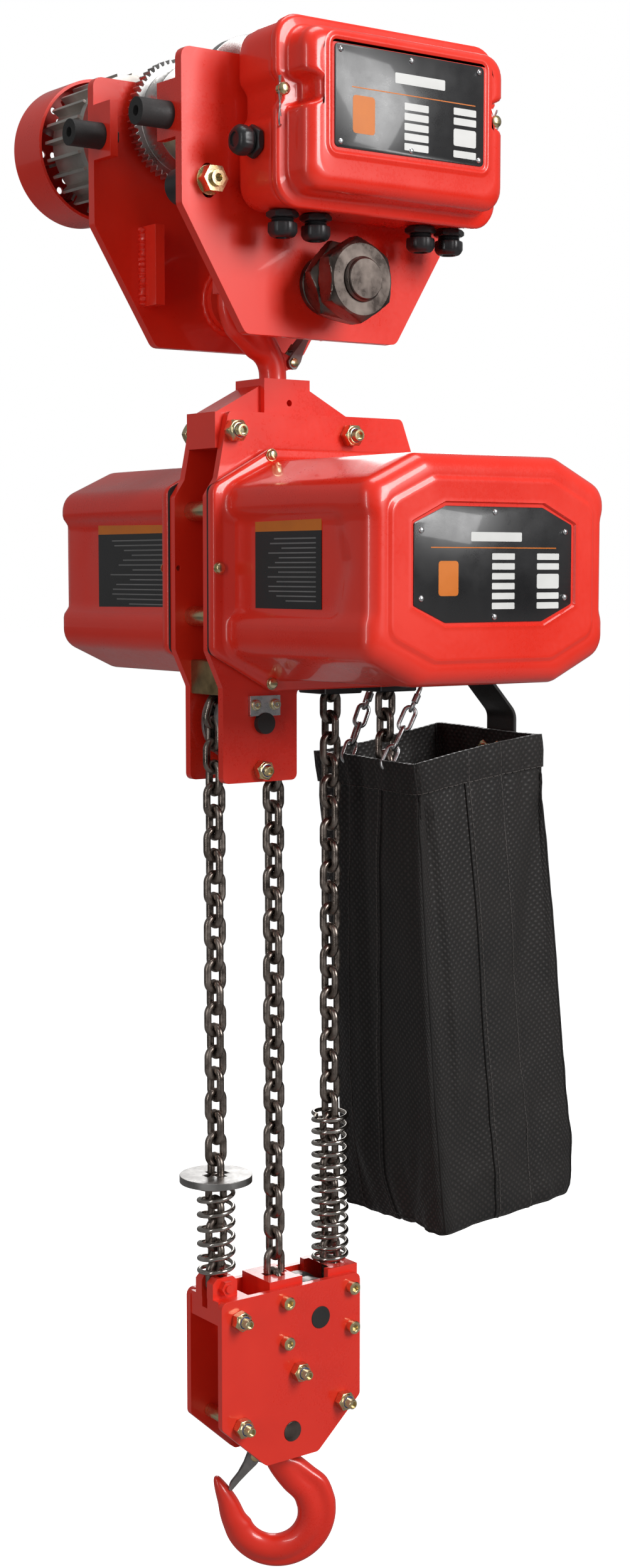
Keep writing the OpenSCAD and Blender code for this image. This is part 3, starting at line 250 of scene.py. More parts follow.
THREAD = finish("sewing_thread", (0.10, 0.09, 0.085), (0.05, 0.045, 0.042), 0.6, grain=900, bump=0.3)
WEAVE = weave()


# ---- mesh tools

def make(name, bm, mat, body, slot, replaced=(), sharp=35):
    """Turns a mesh in millimetres into a piece that rides on a body."""
    bmesh.ops.recalc_face_normals(bm, faces=bm.faces)
    bm.transform(Matrix.Scale(MM, 4))
    mesh = bpy.data.meshes.new(name)
    bm.to_mesh(mesh)
    bm.free()
    mesh.materials.append(mat)
    mesh.shade_smooth()
    mesh.set_sharp_from_angle(angle=math.radians(sharp))
    piece = bpy.data.objects.new(name, mesh)
    bpy.context.scene.collection.objects.link(piece)
    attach(piece, body)
    if replaced:
        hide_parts(*replaced)
    return piece


def loft(bm, rings, closed=False):
    """Skins rings of equal point counts; closed joins the last ring to the first."""
    rows = [[bm.verts.new(p) for p in ring] for ring in rings]
    count = len(rows[0])
    pairs = list(zip(rows, rows[1:])) + ([(rows[-1], rows[0])] if closed else [])
    for a, b in pairs:
        for j in range(count):
            k = (j + 1) % count
            bm.faces.new((a[j], a[k], b[k], b[j]))
    if not closed:
        bm.faces.new(rows[0][::-1])
        bm.faces.new(rows[-1])


def frames_along(path, closed):
    """Tangent and two normals that don't twist, at each point of a path."""
    last = len(path) - 1
    found = []
    normal = None
    for i in range(len(path)):
        before = path[i - 1] if closed or i else path[0]
        after = path[(i + 1) % len(path)] if closed or i < last else path[last]
        tangent = (after - before).normalized()
        normal = tangent.orthogonal() if normal is None else normal
        normal = (normal - tangent * normal.dot(tangent)).normalized()
        found.append((tangent, normal, tangent.cross(normal)))
    return found


def tube(bm, path, radius, sides=12, closed=False):
    """A round wire along a path; radius is a number or one for each point."""
    rings = []
    for i, (p, (_, n, b)) in enumerate(zip(path, frames_along(path, closed))):
        r = radius[i] if isinstance(radius, list) else radius
        rings.append([p + (n * math.cos(TAU * k / sides) + b * math.sin(TAU * k / sides)) * r
                      for k in range(sides)])
    loft(bm, rings, closed)


def polar(r, a, h):
    """A point at radius r, angle a and height h."""
    return Vector((r * math.cos(a), r * math.sin(a), h))


def place_at(at, axis):
    return Matrix.Translation(Vector(at)) @ Vector(axis).to_track_quat("Z", "X").to_matrix().to_4x4()


def lathe(bm, profile, at, axis, sides=48):
    """Turns a (radius, height) profile about an axis that starts at a point."""
    place = place_at(at, axis)
    loft(bm, [[place @ polar(r, TAU * k / sides, h) for k in range(sides)] for r, h in profile])


def hexagon(bm, flats, height, at, axis, spin=0.0):
    """A hexagon with its corners turned off at both ends."""
    place = place_at(at, axis)
    sides = 72

    def ring(h):
        circle = flats * 0.475 + min(h, height - h) * 1.6
        points = []
        for k in range(sides):
            a = TAU * k / sides
            off = math.radians((math.degrees(a) % 60) - 30)
            r = min(flats / 2 / math.cos(off), circle)
            points.append(place @ polar(r, a + spin, h))
        return points

    edge = flats * 0.07
    steps = [edge * t / 4 for t in range(5)]
    loft(bm, [ring(h) for h in steps] + [ring(height - h) for h in reversed(steps)])


def thread_profile(r, start, end, pitch):
    """A ridged profile that stands for a screw thread."""
    points = []
    h = start
    while h + pitch <= end:
        points += [(r - pitch * 0.45, h), (r, h + pitch * 0.4), (r, h + pitch * 0.6)]
        h += pitch
    return points + [(r - pitch * 0.45, h), (r - pitch * 0.6, end)]


def rounded(points, radius, arc, fill):
    """An outline with rounded corners; side i gets fill[i] extra points."""
    count = len(points)
    points = [Vector(p) for p in points]
    arcs = []
    for i, p in enumerate(points):
        u = (points[i - 1] - p).normalized()
        v = (points[(i + 1) % count] - p).normalized()
        half = u.angle(v) / 2
        c = p + (u + v).normalized() * radius / math.sin(half)
        s = p + u * radius / math.tan(half) - c
        e = p + v * radius / math.tan(half) - c
        start = math.atan2(s.y, s.x)
        sweep = (math.atan2(e.y, e.x) - start + math.pi) % TAU - math.pi
        turns = [start + sweep * t / arc for t in range(arc + 1)]
        arcs.append([c + Vector((math.cos(a), math.sin(a))) * radius for a in turns])
    out = []
    for i in range(count):
        out += arcs[i]
        a, b = arcs[i][-1], arcs[(i + 1) % count][0]
        out += [a.lerp(b, (t + 1) / (fill[i] + 1)) for t in range(fill[i])]
    return out


def oblong(w, h):
    """Corners of a rectangle about the origin, w and h to each side, ready for rounded()."""
    return [(w, h), (w, -h), (-w, -h), (-w, h)]


def through(points, steps):
    """A smooth curve through points, with this many steps between each two."""
    out = []
    for i in range(len(points) - 1):
        p0, p1 = points[max(i - 1, 0)], points[i]
        p2, p3 = points[i + 1], points[min(i + 2, len(points) - 1)]
        for t in range(steps):
            u = t / steps
            out.append(0.5 * (2 * p1 + (p2 - p0) * u + (2 * p0 - 5 * p1 + 4 * p2 - p3) * u * u
                              + (3 * p1 - p0 - 3 * p2 + p3) * u ** 3))
    return out + [points[-1]]


def smooth(t):
    t = max(0.0, min(1.0, t))
    return t * t * (3 - 2 * t)


def paint_only(name, mat):
    """Gives a CAD node its material and nothing else."""
    node = nodes[name]
    node.data.materials.clear()
    node.data.materials.append(mat)
    return node


def soften(name, mat, width):
    """Gives a CAD node its material and rounds its sharp edges by a modifier."""
    node = paint_only(name, mat)
    custom = node.data.attributes.get("custom_normal")
    if custom:
        node.data.attributes.remove(custom)
    node.data.shade_smooth()
    weld = node.modifiers.new("weld", "WELD")
    weld.merge_threshold = 0.01 * MM
    flat = node.modifiers.new("flat", "DECIMATE")
    flat.decimate_type = "DISSOLVE"
    flat.angle_limit = math.radians(0.6)
    edge = node.modifiers.new("edge", "BEVEL")
    edge.width = width * MM
    edge.segments = 2
    edge.limit_method = "ANGLE"
    edge.angle_limit = math.radians(38)
    edge.use_clamp_overlap = True
    normal = node.modifiers.new("normal", "WEIGHTED_NORMAL")
    normal.weight = 60


# ---- covers

FLANGE_LIP = 13.0
COVER_WALL = 9.0
FACE_RISE = 2.0
NAME_HALF = Vector((90, 50))


def octagon(w, h, cut_x, cut_z, radius):
    """An eight-sided ring, rounded, with many points on its two upright sides."""
    corners = [(w - cut_x, h), (w, h - cut_z), (w, cut_z - h), (w - cut_x, -h),
               (cut_x - w, -h), (-w, cut_z - h), (-w, h - cut_z), (cut_x - w, h)]
    return rounded(corners, radius, 6, [5, 30, 5, 10, 5, 30, 5, 10])


def cover(name, facing):
    """A pressed cover: thin flange, waisted sides, raised front panel with a sunk nameplate seat."""
    low, high = box(name)
    near = min(abs(low.y), abs(high.y))
    face = max(abs(low.y), abs(high.y))
    centre = (low + high) / 2
    flange = Vector(((high.x - low.x) / 2, (high.z - low.z) / 2))
    body_w, body_h = flange.x - FLANGE_LIP, flange.y - FLANGE_LIP + 1.5
    keep = 0.3 if facing < 0 else 0.8

    def dent(p, y):
        """How far the waist pulls an end wall in."""
        band = smooth((51 - abs(p.y - 4)) / 12)
        start = smooth((y - near - 11) / 7)
        fall = keep + (1 - keep) * smooth((face - 24 - y - abs(p.y - 4) * 0.3) / 26)
        on_end = smooth((abs(p.x) - body_w + 14) / 8)
        return 8.5 * band * start * fall * on_end

    def ring(y, inset, radius=None):
        r = radius or max(7, 20 - inset * 0.25)
        out = []
        for p in octagon(body_w - inset, body_h - inset, 58 - inset * 0.42, 27 - inset * 0.22, r):
            d = dent(p, y)
            out.append(Vector((centre.x + p.x - math.copysign(d, p.x), facing * y, centre.z + p.y)))
        return out

    def flange_ring(y, inset):
        pts = octagon(flange.x - inset, flange.y - inset, 67.5 - inset * 0.4, 36.5 - inset * 0.2, 11)
        return [Vector((centre.x + p.x, facing * y, centre.z + p.y)) for p in pts]

    thick = 11.0
    corner = 17.0
    rings = [ring(face - COVER_WALL, 60, 8)]
    rings += [ring(face - COVER_WALL, 33), ring(face - 26, COVER_WALL + 6), ring(face - 50, COVER_WALL + 3)]
    rings += [ring(near + 16, COVER_WALL + 3), ring(near + 0.6, COVER_WALL + 2)]
    rings += [flange_ring(near, 2.2), flange_ring(near + 0.6, 0.7), flange_ring(near + 2.2, 0)]
    rings += [flange_ring(near + thick - 2.5, 0), flange_ring(near + thick - 0.8, 0.8),
              flange_ring(near + thick, 2.6)]
    rings += [ring(near + thick, -4.5), ring(near + thick + 1.2, -1.8), ring(near + thick + 4.5, -0.2)]
    run = face - corner - near - thick - 5
    rings += [ring(near + thick + 5 + run * t / 22, 0.02 * t) for t in range(23)]
    for t in range(1, 10):
        a = math.radians(10 * t)
        rings.append(ring(face - corner * (1 - math.sin(a)), 0.4 + corner * (1 - math.cos(a))))
    rings += [ring(face + FACE_RISE * up, inset)
              for up, inset in ((0, 18.8), (0, 20), (0.15, 21), (0.85, 23), (1, 24), (1, 26))]
    seat_w, seat_h = NAME_HALF.x + 2.4, NAME_HALF.y + 2.4

    def seat(y, grow):
        corners = [(55 + grow, seat_h + grow), (seat_w + grow, 35 + grow), (seat_w + grow, -35 - grow),
                   (55 + grow, -seat_h - grow), (-55 - grow, -seat_h - grow), (-seat_w - grow, -35 - grow),
                   (-seat_w - grow, 35 + grow), (-55 - grow, seat_h + grow)]
        pts = rounded(corners, 3, 6, [5, 30, 5, 10, 5, 30, 5, 10])
        return [Vector((centre.x + p.x, facing * y, centre.z + 5 + p.y)) for p in pts]

    if facing < 0:
        raised = face + FACE_RISE
        rings += [seat(raised, 5), seat(raised, 3.4), seat(raised + 0.3, 1.6), seat(face, 0.4), seat(face, 0)]
    else:
        rings += [ring(face + FACE_RISE, 60)]
    bm = bmesh.new()
    loft(bm, rings)
    return make(name + "_shell", bm, PAINT, "hoist_frame", "red_paint", (name,), sharp=48)


def name_plate(name, centre, outline, y, fields, body, replaced):
    """A blank printed plate: black sheet, a red line and pale empty fields."""
    bm = bmesh.new()
    thick = 0.9
    rings = []
    for inset, depth in ((0.0, 0.0), (0.0, thick - 0.25), (0.3, thick)):
        ring = [(p.x * (1 - inset / 80), p.y * (1 - inset / 45)) for p in outline]
        rings.append([Vector((centre.x + x, y - depth, centre.z + z)) for x, z in ring])
    loft(bm, rings)
    make(name, bm, PLATE_BLACK, body, "black_plate", replaced)
    for label, mat, slot, rects in fields:
        bm = bmesh.new()
        for x, z, w, h in rects:
            pts = rounded(oblong(w / 2, h / 2), min(w, h) * 0.12, 2, [0] * 4)
            loft(bm, [[Vector((centre.x + x + p.x, y - thick - d, centre.z + z + p.y)) for p in pts]
                      for d in (-0.2, 0.12)])
        make(f"{name}_{label}", bm, mat, body, slot)


def rivets(name, spots, y, body, radius=2.7):
    bm = bmesh.new()
    for x, z in spots:
        lathe(bm, [(radius, 0), (radius, 0.4), (radius * 0.86, 1.1), (radius * 0.5, 1.6),
                   (radius * 0.15, 1.8)],
              (x, y, z), (0, -1, 0), 20)
    make(name, bm, ZINC, body, "zinc")


def field_rows(x, top, step, rows, w, h):
    return [(x, top - step * i, w, h) for i in range(rows)]


cover("front_cover", -1)
cover("rear_cover", 1)
face_y = cover_low.y
plate_centre = Vector(((cover_low.x + cover_high.x) / 2, face_y, hoist_z + 5))
name_outline = rounded([(55, 50), (90, 35), (90, -35), (55, -50), (-55, -50), (-90, -35), (-90, 35),
                        (-55, 50)], 2.5, 3, [0] * 8)
name_plate("nameplate_sheet", plate_centre, name_outline, face_y, [
    ("line", ORANGE, "black_plate", [(0, 14.5, 143, 0.9)]),
    ("fields", WHITE, "black_plate", field_rows(10, 7, 8.6, 6, 26, 5.6) + field_rows(62, 7, 8.6, 2, 26, 5.6)
     + [(62, -14.6, 26, 13)] + field_rows(62, -27.4, 8.6, 2, 26, 5.6)),
    ("header", WHITE, "black_plate", [(2, 24, 58, 8)]),
    ("mark", ORANGE, "black_plate", [(-52, -12, 22, 30)])], "hoist_frame", ("nameplate",))
rivets("nameplate_rivets", [(plate_centre.x + x, plate_centre.z + z)
                            for x, z in ((-82, 29), (0, 45.5), (82, 29), (-82, -29), (0, -45.5), (82, -29))],
       face_y - 0.9, "hoist_frame")


def side_label(name, x, y0, y1, z0, z1, body):
    """A blank sticker on the waist of a cover: orange head over a black field."""
    for part, mat, low, high in (("head", ORANGE, z1 - 10.5, z1), ("field", PLATE_BLACK, z0, z1 - 10.5)):
        bm = bmesh.new()
        loft(bm, [[Vector((px, y, z)) for y, z in ((y0, low), (y1, low), (y1, high), (y0, high))]
                  for px in (x + 0.5, x - 0.35)])
        make(f"{name}_{part}", bm, mat, body, "black_plate")
    bm = bmesh.new()
    rows = 14
    for i in range(rows):
        z = z1 - 17 - (z1 - z0 - 24) * i / (rows - 1)
        far = y1 - 8 - (y1 - y0) * (0.1 + 0.35 * random.random())
        near = y0 + 8
        bar = ((near, z - 0.6), (far, z - 0.6), (far, z + 0.6), (near, z + 0.6))
        loft(bm, [[Vector((px, y, height)) for y, height in bar] for px in (x, x - 0.45)])
    make(f"{name}_bars", bm, GREY_PRINT, body, "black_plate")


wall_x = cover_low.x + FLANGE_LIP + 8.5
side_label("front_label", wall_x, -182, -81, hoist_z - 34, hoist_z + 45, "hoist_frame")
side_label("rear_label", wall_x, 67, 197, hoist_z - 40, hoist_z + 46, "hoist_frame")


# ---- control box

def box_ring(centre, w, h, radius, y, pinch, band, notch_z):
    """A rounded rectangle in X and Z at y; both ends are pinched in round height notch_z."""
    pts = rounded(oblong(w, h), radius, 8, [34, 10, 34, 10])
    out = []
    for p in pts:
        d = pinch * smooth((band[0] + band[1] - abs(centre.z + p.y - notch_z)) / band[1])
        d *= smooth((abs(p.x) - w + 12) / 8)
        out.append(Vector((centre.x + p.x - math.copysign(d, p.x), y, centre.z + p.y)))
    return out


BOX_NOTCH_Z = 36.0
LID_NOTCH_Z = 40.0


def control_box():
    low, high = box("control_box")
    lid_low, _ = box("control_box_lid")
    c = (low + high) / 2
    w, h = (high.x - low.x) / 2, (high.z - low.z) / 2
    bm = bmesh.new()
    rings = []
    for y, inset, r, pinch in ((high.y - 5, 20, 12, 8), (high.y - 5, 9, 14, 8), (low.y + 6, 8, 16, 8),
                               (low.y, 8, 16, 8), (low.y, 3.6, 20, 8), (low.y + 0.8, 2.8, 21, 8),
                               (low.y + 6, 2.4, 22, 8), (high.y - 22, 2.6, 22, 8), (high.y - 9, 3.2, 22, 8),
                               (high.y - 4.2, 5.0, 21, 8), (high.y - 1.2, 8.2, 19, 8), (high.y, 13, 16, 8)):
        rings.append(box_ring(c, w - inset, h - inset, r, y, pinch, (8, 14), BOX_NOTCH_Z))
    loft(bm, rings)
    make("control_box_shell", bm, PAINT, "trolley", "red_paint", ("control_box",), sharp=50)

    joint, face = low.y, lid_low.y
    rings = []
    profile = [(joint - 6, 30, 12, 6), (joint - 6, 14, 14, 6), (joint, 10, 16, 6),
               (joint, 2.0, 23, 5), (joint - 0.9, 0.5, 24, 5), (joint - 2.5, 0, 24, 5), (joint - 7, 0, 24, 5),
               (joint - 9, 0.8, 24, 5.5), (joint - 10, 3.2, 23, 7), (joint - 10.3, 8, 22, 12),
               (joint - 11.4, 10.2, 21, 14), (joint - 14, 11.4, 20, 14.5), (face + 16, 12, 20, 14.5)]
    corner = 13.0
    for t in range(1, 9):
        a = math.radians(90 * t / 8)
        profile.append((face + corner * (1 - math.sin(a)), 12 + corner * (1 - math.cos(a)),
                        20 - 4 * t / 8, 14.5 - 4 * t / 8))
    for y, inset, r, pinch in profile:
        rings.append(box_ring(c, w - inset, h - inset, r, y, pinch, (7, 9), LID_NOTCH_Z))
    plate = Vector((c.x, face, c.z + 11))
    half = Vector((85.2, 45.7))

    def seat(y, grow):
        pts = rounded(oblong(half.x + grow, half.y + grow), 5 + grow, 8, [34, 10, 34, 10])
        return [Vector((plate.x + p.x, y, plate.z + p.y)) for p in pts]

    rings.append(box_ring(c, w - 26.5, h - 26.5, 14, face, 9, (7, 9), LID_NOTCH_Z))
    rings += [seat(face - sunk, grow)
              for sunk, grow in ((0, 8), (0.2, 6.4), (1.2, 4.6), (1.5, 3.4), (1.3, 2.2), (0, 0.8), (0, 0))]
    bm = bmesh.new()
    loft(bm, rings)
    make("control_lid_shell", bm, PAINT, "trolley", "red_paint", ("control_box_lid",), sharp=50)

    outline = rounded(oblong(83, 43.5), 4, 4, [0] * 4)
    name_plate("control_plate", plate, outline, face, [
        ("line", ORANGE, "black_plate", [(4, 8.5, 138, 0.9)]),
        ("fields", WHITE, "black_plate", field_rows(6, -1, 8.6, 5, 27, 6.2)
         + field_rows(61, 1.5, 8.6, 2, 26, 6.2) + [(61, -21, 26, 15), (61, -35.5, 26, 6.2)]),
        ("header", WHITE, "black_plate", [(10, 22, 56, 9)]),
        ("mark", ORANGE, "black_plate", [(-52, -14, 24, 32)])], "trolley", ("lid_hardware",))
    rivets("control_plate_rivets", [(plate.x + x, plate.z + z) for x in (-77, 0, 77) for z in (-38.5, 38.5)],
           face - 0.9, "trolley", 2.5)
    return c, w, joint


box_centre, box_half, box_joint = control_box()


def clamp(side):
    """The clamp screw at one end of the lid, with its spring clip."""
    end = "right" if side > 0 else "left"
    x = box_centre.x + side * (box_half - 4.5)
    z = LID_NOTCH_Z
    y = box_joint - 8
    bm = bmesh.new()
    lathe(bm, [(4.4, 0), (4.4, 5), (4.0, 5.6), (5.4, 5.8), (5.6, 7.6), (5.2, 8.8), (3.6, 9.8), (1.4, 10.2)],
          (x, y, z), (0, -1, 0), 28)
    make(f"clamp_screw_{end}", bm, GOLD, "trolley", "yellow_zinc")
    bm = bmesh.new()
    at = Vector((x + side * 1.5, y - 3, z))
    shape = [(11, 3.5), (7, 1.5), (3, -3), (0, -5.2), (-5, -5.6), (-9, -3), (-12, 1.5), (-16, 1), (-21, -2.5),
             (-26, -4.5), (-30, -2.2), (-30.5, 2.5), (-26, 5), (-21, 4), (-16, 0.8), (-12, -2.5), (-8, 2),
             (-3, 5.2), (2, 3.6), (6, -0.5), (12, -3.5)]
    path = [at + Vector((b * 0.55 * side, -b * 0.5, a)) for a, b in shape]
    tube(bm, through(path, 5), 0.85, 8)
    make(f"clamp_clip_{end}", bm, ZINC, "trolley", "zinc")


clamp(-1)
clamp(1)


# ---- cable glands

def gland(bm, at, axis):
    hexagon(bm, 22, 5.5, Vector(at), axis)
    lathe(bm, [(9.3, 0)] + [(8.2 + 0.7 * (k % 2), 5.5 + 0.7 * k) for k in range(5)] + [(8.8, 9.2)], at, axis)
    at = Vector(at) + Vector(axis) * 8.6
    place = place_at(at, axis)
    rings = []
    for r, h in ((9.4, 0), (10.6, 0.6), (10.9, 2), (10.9, 7.2), (10.5, 8.6), (9.6, 10), (8.4, 11),
                 (6.6, 11.6), (5.4, 11.4), (5.1, 10.2)):
        rib = 0.5 if h < 8 else 0.2
        ring = []
        for k in range(72):
            a = TAU * k / 72
            q = r + rib * (math.cos(6 * a) > 0.2)
            ring.append(place @ polar(q, a, h))
        rings.append(ring)
    loft(bm, rings)


def glands():
    low, high = box("cable_glands")
    bm = bmesh.new()
    box_low = box("control_box")[0]
    gland_y = (low.y + high.y) / 2
    for mount in frame["record"]["mounts"]:
        if mount["name"].startswith("gland"):
            at = Vector(mount["pos_m"]) / MM
            axis = Vector(mount["axis"])
            at = Vector((box_low.x + 2, gland_y, at.z)) if axis.x else Vector((at.x, gland_y, box_low.z + 2))
            single = bmesh.new()
            gland(single, (0, 0, 0), (0, 0, 1))
            single.transform(place_at(at, axis) @ Matrix.Scale(1.15, 4))
            part = bpy.data.meshes.new("gland_part")
            single.to_mesh(part)
            single.free()
            bm.from_mesh(part)
    make("gland_bodies", bm, PLASTIC, "trolley", "black_plastic", ("cable_glands",))


glands()


# ---- hooks

HOOK_BOWL = 23.0
STATIONS = [(0, 84, 13, 13, 0, 0), (0, 70, 13, 13, 0, 0), (3, 60, 14.5, 13, 4, 0.1),
            (11.5, 49, 17, 13, 24, 0.4), (24, 35.5, 18.6, 13, 34, 0.8), (35.5, 25, 19.4, 12.8, 32, 1)]
TIP = [(-41.8, -2, 12.6, 11.4, -178, 1), (-46.3, 11, 10.2, 10.6, -171, 0.8),
       (-51.5, 22.5, 7.6, 9.2, -168, 0.4), (-55.5, 31, 5.0, 6.6, -170, 0.1),
       (-57.3, 35.4, 3.0, 4.0, -172, 0), (-57.8, 36.8, 1.2, 1.6, -172, 0)]


def hook_stations():
    """Centre x, z, half width, half thickness, slope of the section, and how T-shaped it is."""
    bowl = []
    for a in range(16, -161, -8):
        t = (20 - a) / 180
        w = 19.6 - 5.6 * t
        bowl.append(((HOOK_BOWL + w) * math.cos(math.radians(a)) - 2 * t,
                     (HOOK_BOWL + w) * math.sin(math.radians(a)), w, 12.6 - 1.2 * t, a, 1))
    return through([Vector(s) for s in STATIONS + bowl + TIP], 4)


def hook_section(s):
    """A thick round bead on the inside and a thinner web outside, across the hook's line."""
    x, z, w, t, slope, tee = s
    d = Vector((math.cos(math.radians(slope)), math.sin(math.radians(slope))))
    ring = []
    for k in range(36):
        a = TAU * k / 36
        across = -w * math.cos(a)
        round_t = t * math.sin(a)
        bead_w = min(13.5, w)
        along = (across + w) / bead_w
        bead = t * math.sqrt(max(0.0, 1 - (along - 1) ** 2)) if along < 2 else 0.0
        edge = max(0.0, (across - (w - 7)) / 7)
        web = t * 0.62 * math.sqrt(max(0.0, 1 - edge ** 2)) if across > -w * 0.4 else 0
        thick = max(bead, web, 0.35 * abs(round_t))
        tee_t = math.copysign(thick, math.sin(a)) if abs(math.sin(a)) > 1e-6 else 0
        ring.append(Vector((x + d.x * across, round_t * (1 - tee) + tee_t * tee, z + d.y * across)))
    return ring


PIVOT = Vector((-19, 60))
FOOT = Vector((-44.3, 26.2))


def hook(name, node, place, body, shank_top):
    bm = bmesh.new()
    rings = [hook_section(s) for s in hook_stations()]
    rings.insert(0, [Vector((p.x, p.y, shank_top)) for p in rings[0]])
    loft(bm, rings)
    prong = [(-4, 49), (PIVOT.x + 3, PIVOT.y - 6.5), (PIVOT.x - 3, PIVOT.y - 6), (PIVOT.x - 6.4, PIVOT.y),
             (PIVOT.x - 3.5, PIVOT.y + 6), (PIVOT.x + 3, PIVOT.y + 6.4), (-4, 71)]
    pts = rounded(prong, 1.5, 3, [0] * 7)
    loft(bm, [[Vector((p.x * k - (1 - k) * 12, y, p.y * k + (1 - k) * 60)) for p in pts]
              for y, k in ((-5, 0.985), (-4.2, 1), (4.2, 1), (5, 0.985))])
    lathe(bm, [(11.4, 0), (11.4, 18)], (0, 0, shank_top - 1), (0, 0, 1))
    hexagon(bm, 36, 15, (0, 0, shank_top + 0.5), (0, 0, 1))
    bm.transform(place)
    return make(name, bm, PAINT, body, "red_paint", (node,), sharp=60)


def latch(name, node, place, body):
    """A cast latch: two ears on the hook's lug, a web between them, a tongue at the foot."""
    along = (FOOT - PIVOT).normalized()
    across = Vector((-along.y, along.x))
    length = (FOOT - PIVOT).length

    def at(a, c, y):
        p = PIVOT + along * a + across * c
        return Vector((p.x, y, p.y))

    bm = bmesh.new()
    outline = [(-6, -3), (-6.2, 2), (-3, 5.8), (6, 6), (18, 4.6), (30, 3.6), (length + 1, 3.0),
               (length + 1.6, -0.6), (length - 3, -1.8), (28, -1.6), (16, -3.2), (6, -6), (-3, -6)]
    pts = rounded(outline, 1.2, 3, [0] * len(outline))
    for s in (-1, 1):
        wide = 8.4
        rings = []
        for y, k in ((5.25, 0.97), (5.7, 1), (wide - 0.6, 1), (wide, 0.96)):
            rings.append([at(p.x * k, p.y * k, s * (y - 2.6 * smooth(p.x / length))) for p in pts])
        loft(bm, rings)
    web = [(11, 5.4), (22, 4.0), (length + 0.6, 2.9), (length + 0.6, -0.4), (length - 6, 0.2), (20, 1.4),
           (11, 2.6)]
    pts = rounded(web, 0.8, 2, [0] * len(web))
    loft(bm, [[at(p.x, p.y, y * (1 - 0.3 * smooth(p.x / length))) for p in pts]
              for y in (-6.6, -5.8, 5.8, 6.6)])
    bm.transform(place)
    make(name, bm, CASTING, body, "grey_casting", (node,), sharp=50)
    bm = bmesh.new()
    for s in (-1, 1):
        lathe(bm, [(2.4, -3), (2.4, 0), (4.3, 0.05), (4.4, 1.1), (3.8, 1.8), (2.2, 2.2), (0.6, 2.3)],
              (PIVOT.x, s * 8.4, PIVOT.y), (0, s, 0), 24)
    lathe(bm, [(2.3, 0), (2.3, 16.4)], (PIVOT.x, -8.2, PIVOT.y), (0, 1, 0), 24)
    bm.transform(place)
    make(name + "_screw", bm, GOLD, body, "yellow_zinc")
    bm = bmesh.new()
    coil = [Vector((PIVOT.x + 3.4 * math.cos(TAU * t / 12), 3.2, PIVOT.y + 3.4 * math.sin(TAU * t / 12)))
            for t in range(3)]
    tail = [at(4 + 2 * t, 6.6, 3.2) for t in range(8)]
    tube(bm, coil + tail, 0.7, 8)
    bm.transform(place)
    make(name + "_spring", bm, GOLD, body, "yellow_zinc")


HOOK_STANDS = 93.0
HOOK_TURN = math.radians(-36)
block_hook_z = joint_at("crosshead_tilt").z - HOOK_STANDS
lower_place = Matrix.Translation((0, 0, block_hook_z)) @ Matrix.Rotation(HOOK_TURN, 4, "Z")
top_place = Matrix.Translation((0, 0, joint_at("top_hook_swing").z - 2.5)) @ Matrix.Rotation(math.pi, 4, "Y")
hook("lower_hook_forging", "lower_hook", lower_place, "lower_hook", 109.5)
hook("top_hook_forging", "top_hook", top_place, "top_hook", 118.0)
latch("lower_latch_casting", "lower_latch", lower_place, "lower_latch")
latch("top_latch_casting", "top_latch", top_place, "top_latch")


# ---- springs

def spring(name, node, turns, body):
    """A round-wire spring whose end coils lie flat."""
    low, high = box(node)
    wire = 2.25
    c = (low + high) / 2
    mean = (high.x - low.x) / 2 - wire
    steps = int(turns * 32)
    edge = 1 / turns
    path = []
    for i in range(steps + 1):
        t = i / steps
        if t < edge:
            f = t * t / (2 * edge)
        elif t > 1 - edge:
            f = 1 - edge - (1 - t) ** 2 / (2 * edge)
        else:
            f = t - edge / 2
        z = low.z + wire + (high.z - low.z - 2 * wire) * f / (1 - edge)
        a = TAU * turns * t
        path.append(Vector((c.x + mean * math.cos(a), c.y + mean * math.sin(a), z)))
    bm = bmesh.new()
    tube(bm, path, wire, 14)
    return make(name, bm, SPRING, body, "zinc", (node,), sharp=60)


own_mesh(spring("short_spring_wire", "short_spring", 7, "lower_block"))
spring("long_spring_wire", "long_spring", 13.5, "lower_block")


# ---- bolts

def lock_bolt(metal, insert, x, z, r, flats, out, tail, spin=0.3):
    """A through bolt: locking nut with its coloured ring at the front, head at the rear."""
    hexagon(metal, flats, flats * 0.52, (x, -out, z), (0, -1, 0), spin)
    collar = -out - flats * 0.52
    lathe(metal, [(flats * 0.47, 0), (flats * 0.45, 0.9), (flats * 0.40, 1.9), (flats * 0.35, 2.1),
                  (flats * 0.33, 1.2)], (x, collar + 0.2, z), (0, -1, 0), 36)
    lathe(insert, [(flats * 0.36, 0), (flats * 0.355, 1.7), (r * 1.02, 1.7), (r * 1.0, 0.4)],
          (x, collar + 0.1, z), (0, -1, 0), 36)
    profile = thread_profile(r, 0, tail - 0.2, 1.4)
    profile += [(r * 0.62, tail - 0.1), (r * 0.6, tail - r * 0.5)]
    lathe(metal, profile, (x, -out, z), (0, -1, 0), 30)
    hexagon(metal, flats, flats * 0.42, (x, out, z), (0, 1, 0), spin)
    lathe(metal, [(r, 0), (r, 2 * out)], (x, -out, z), (0, 1, 0), 30)


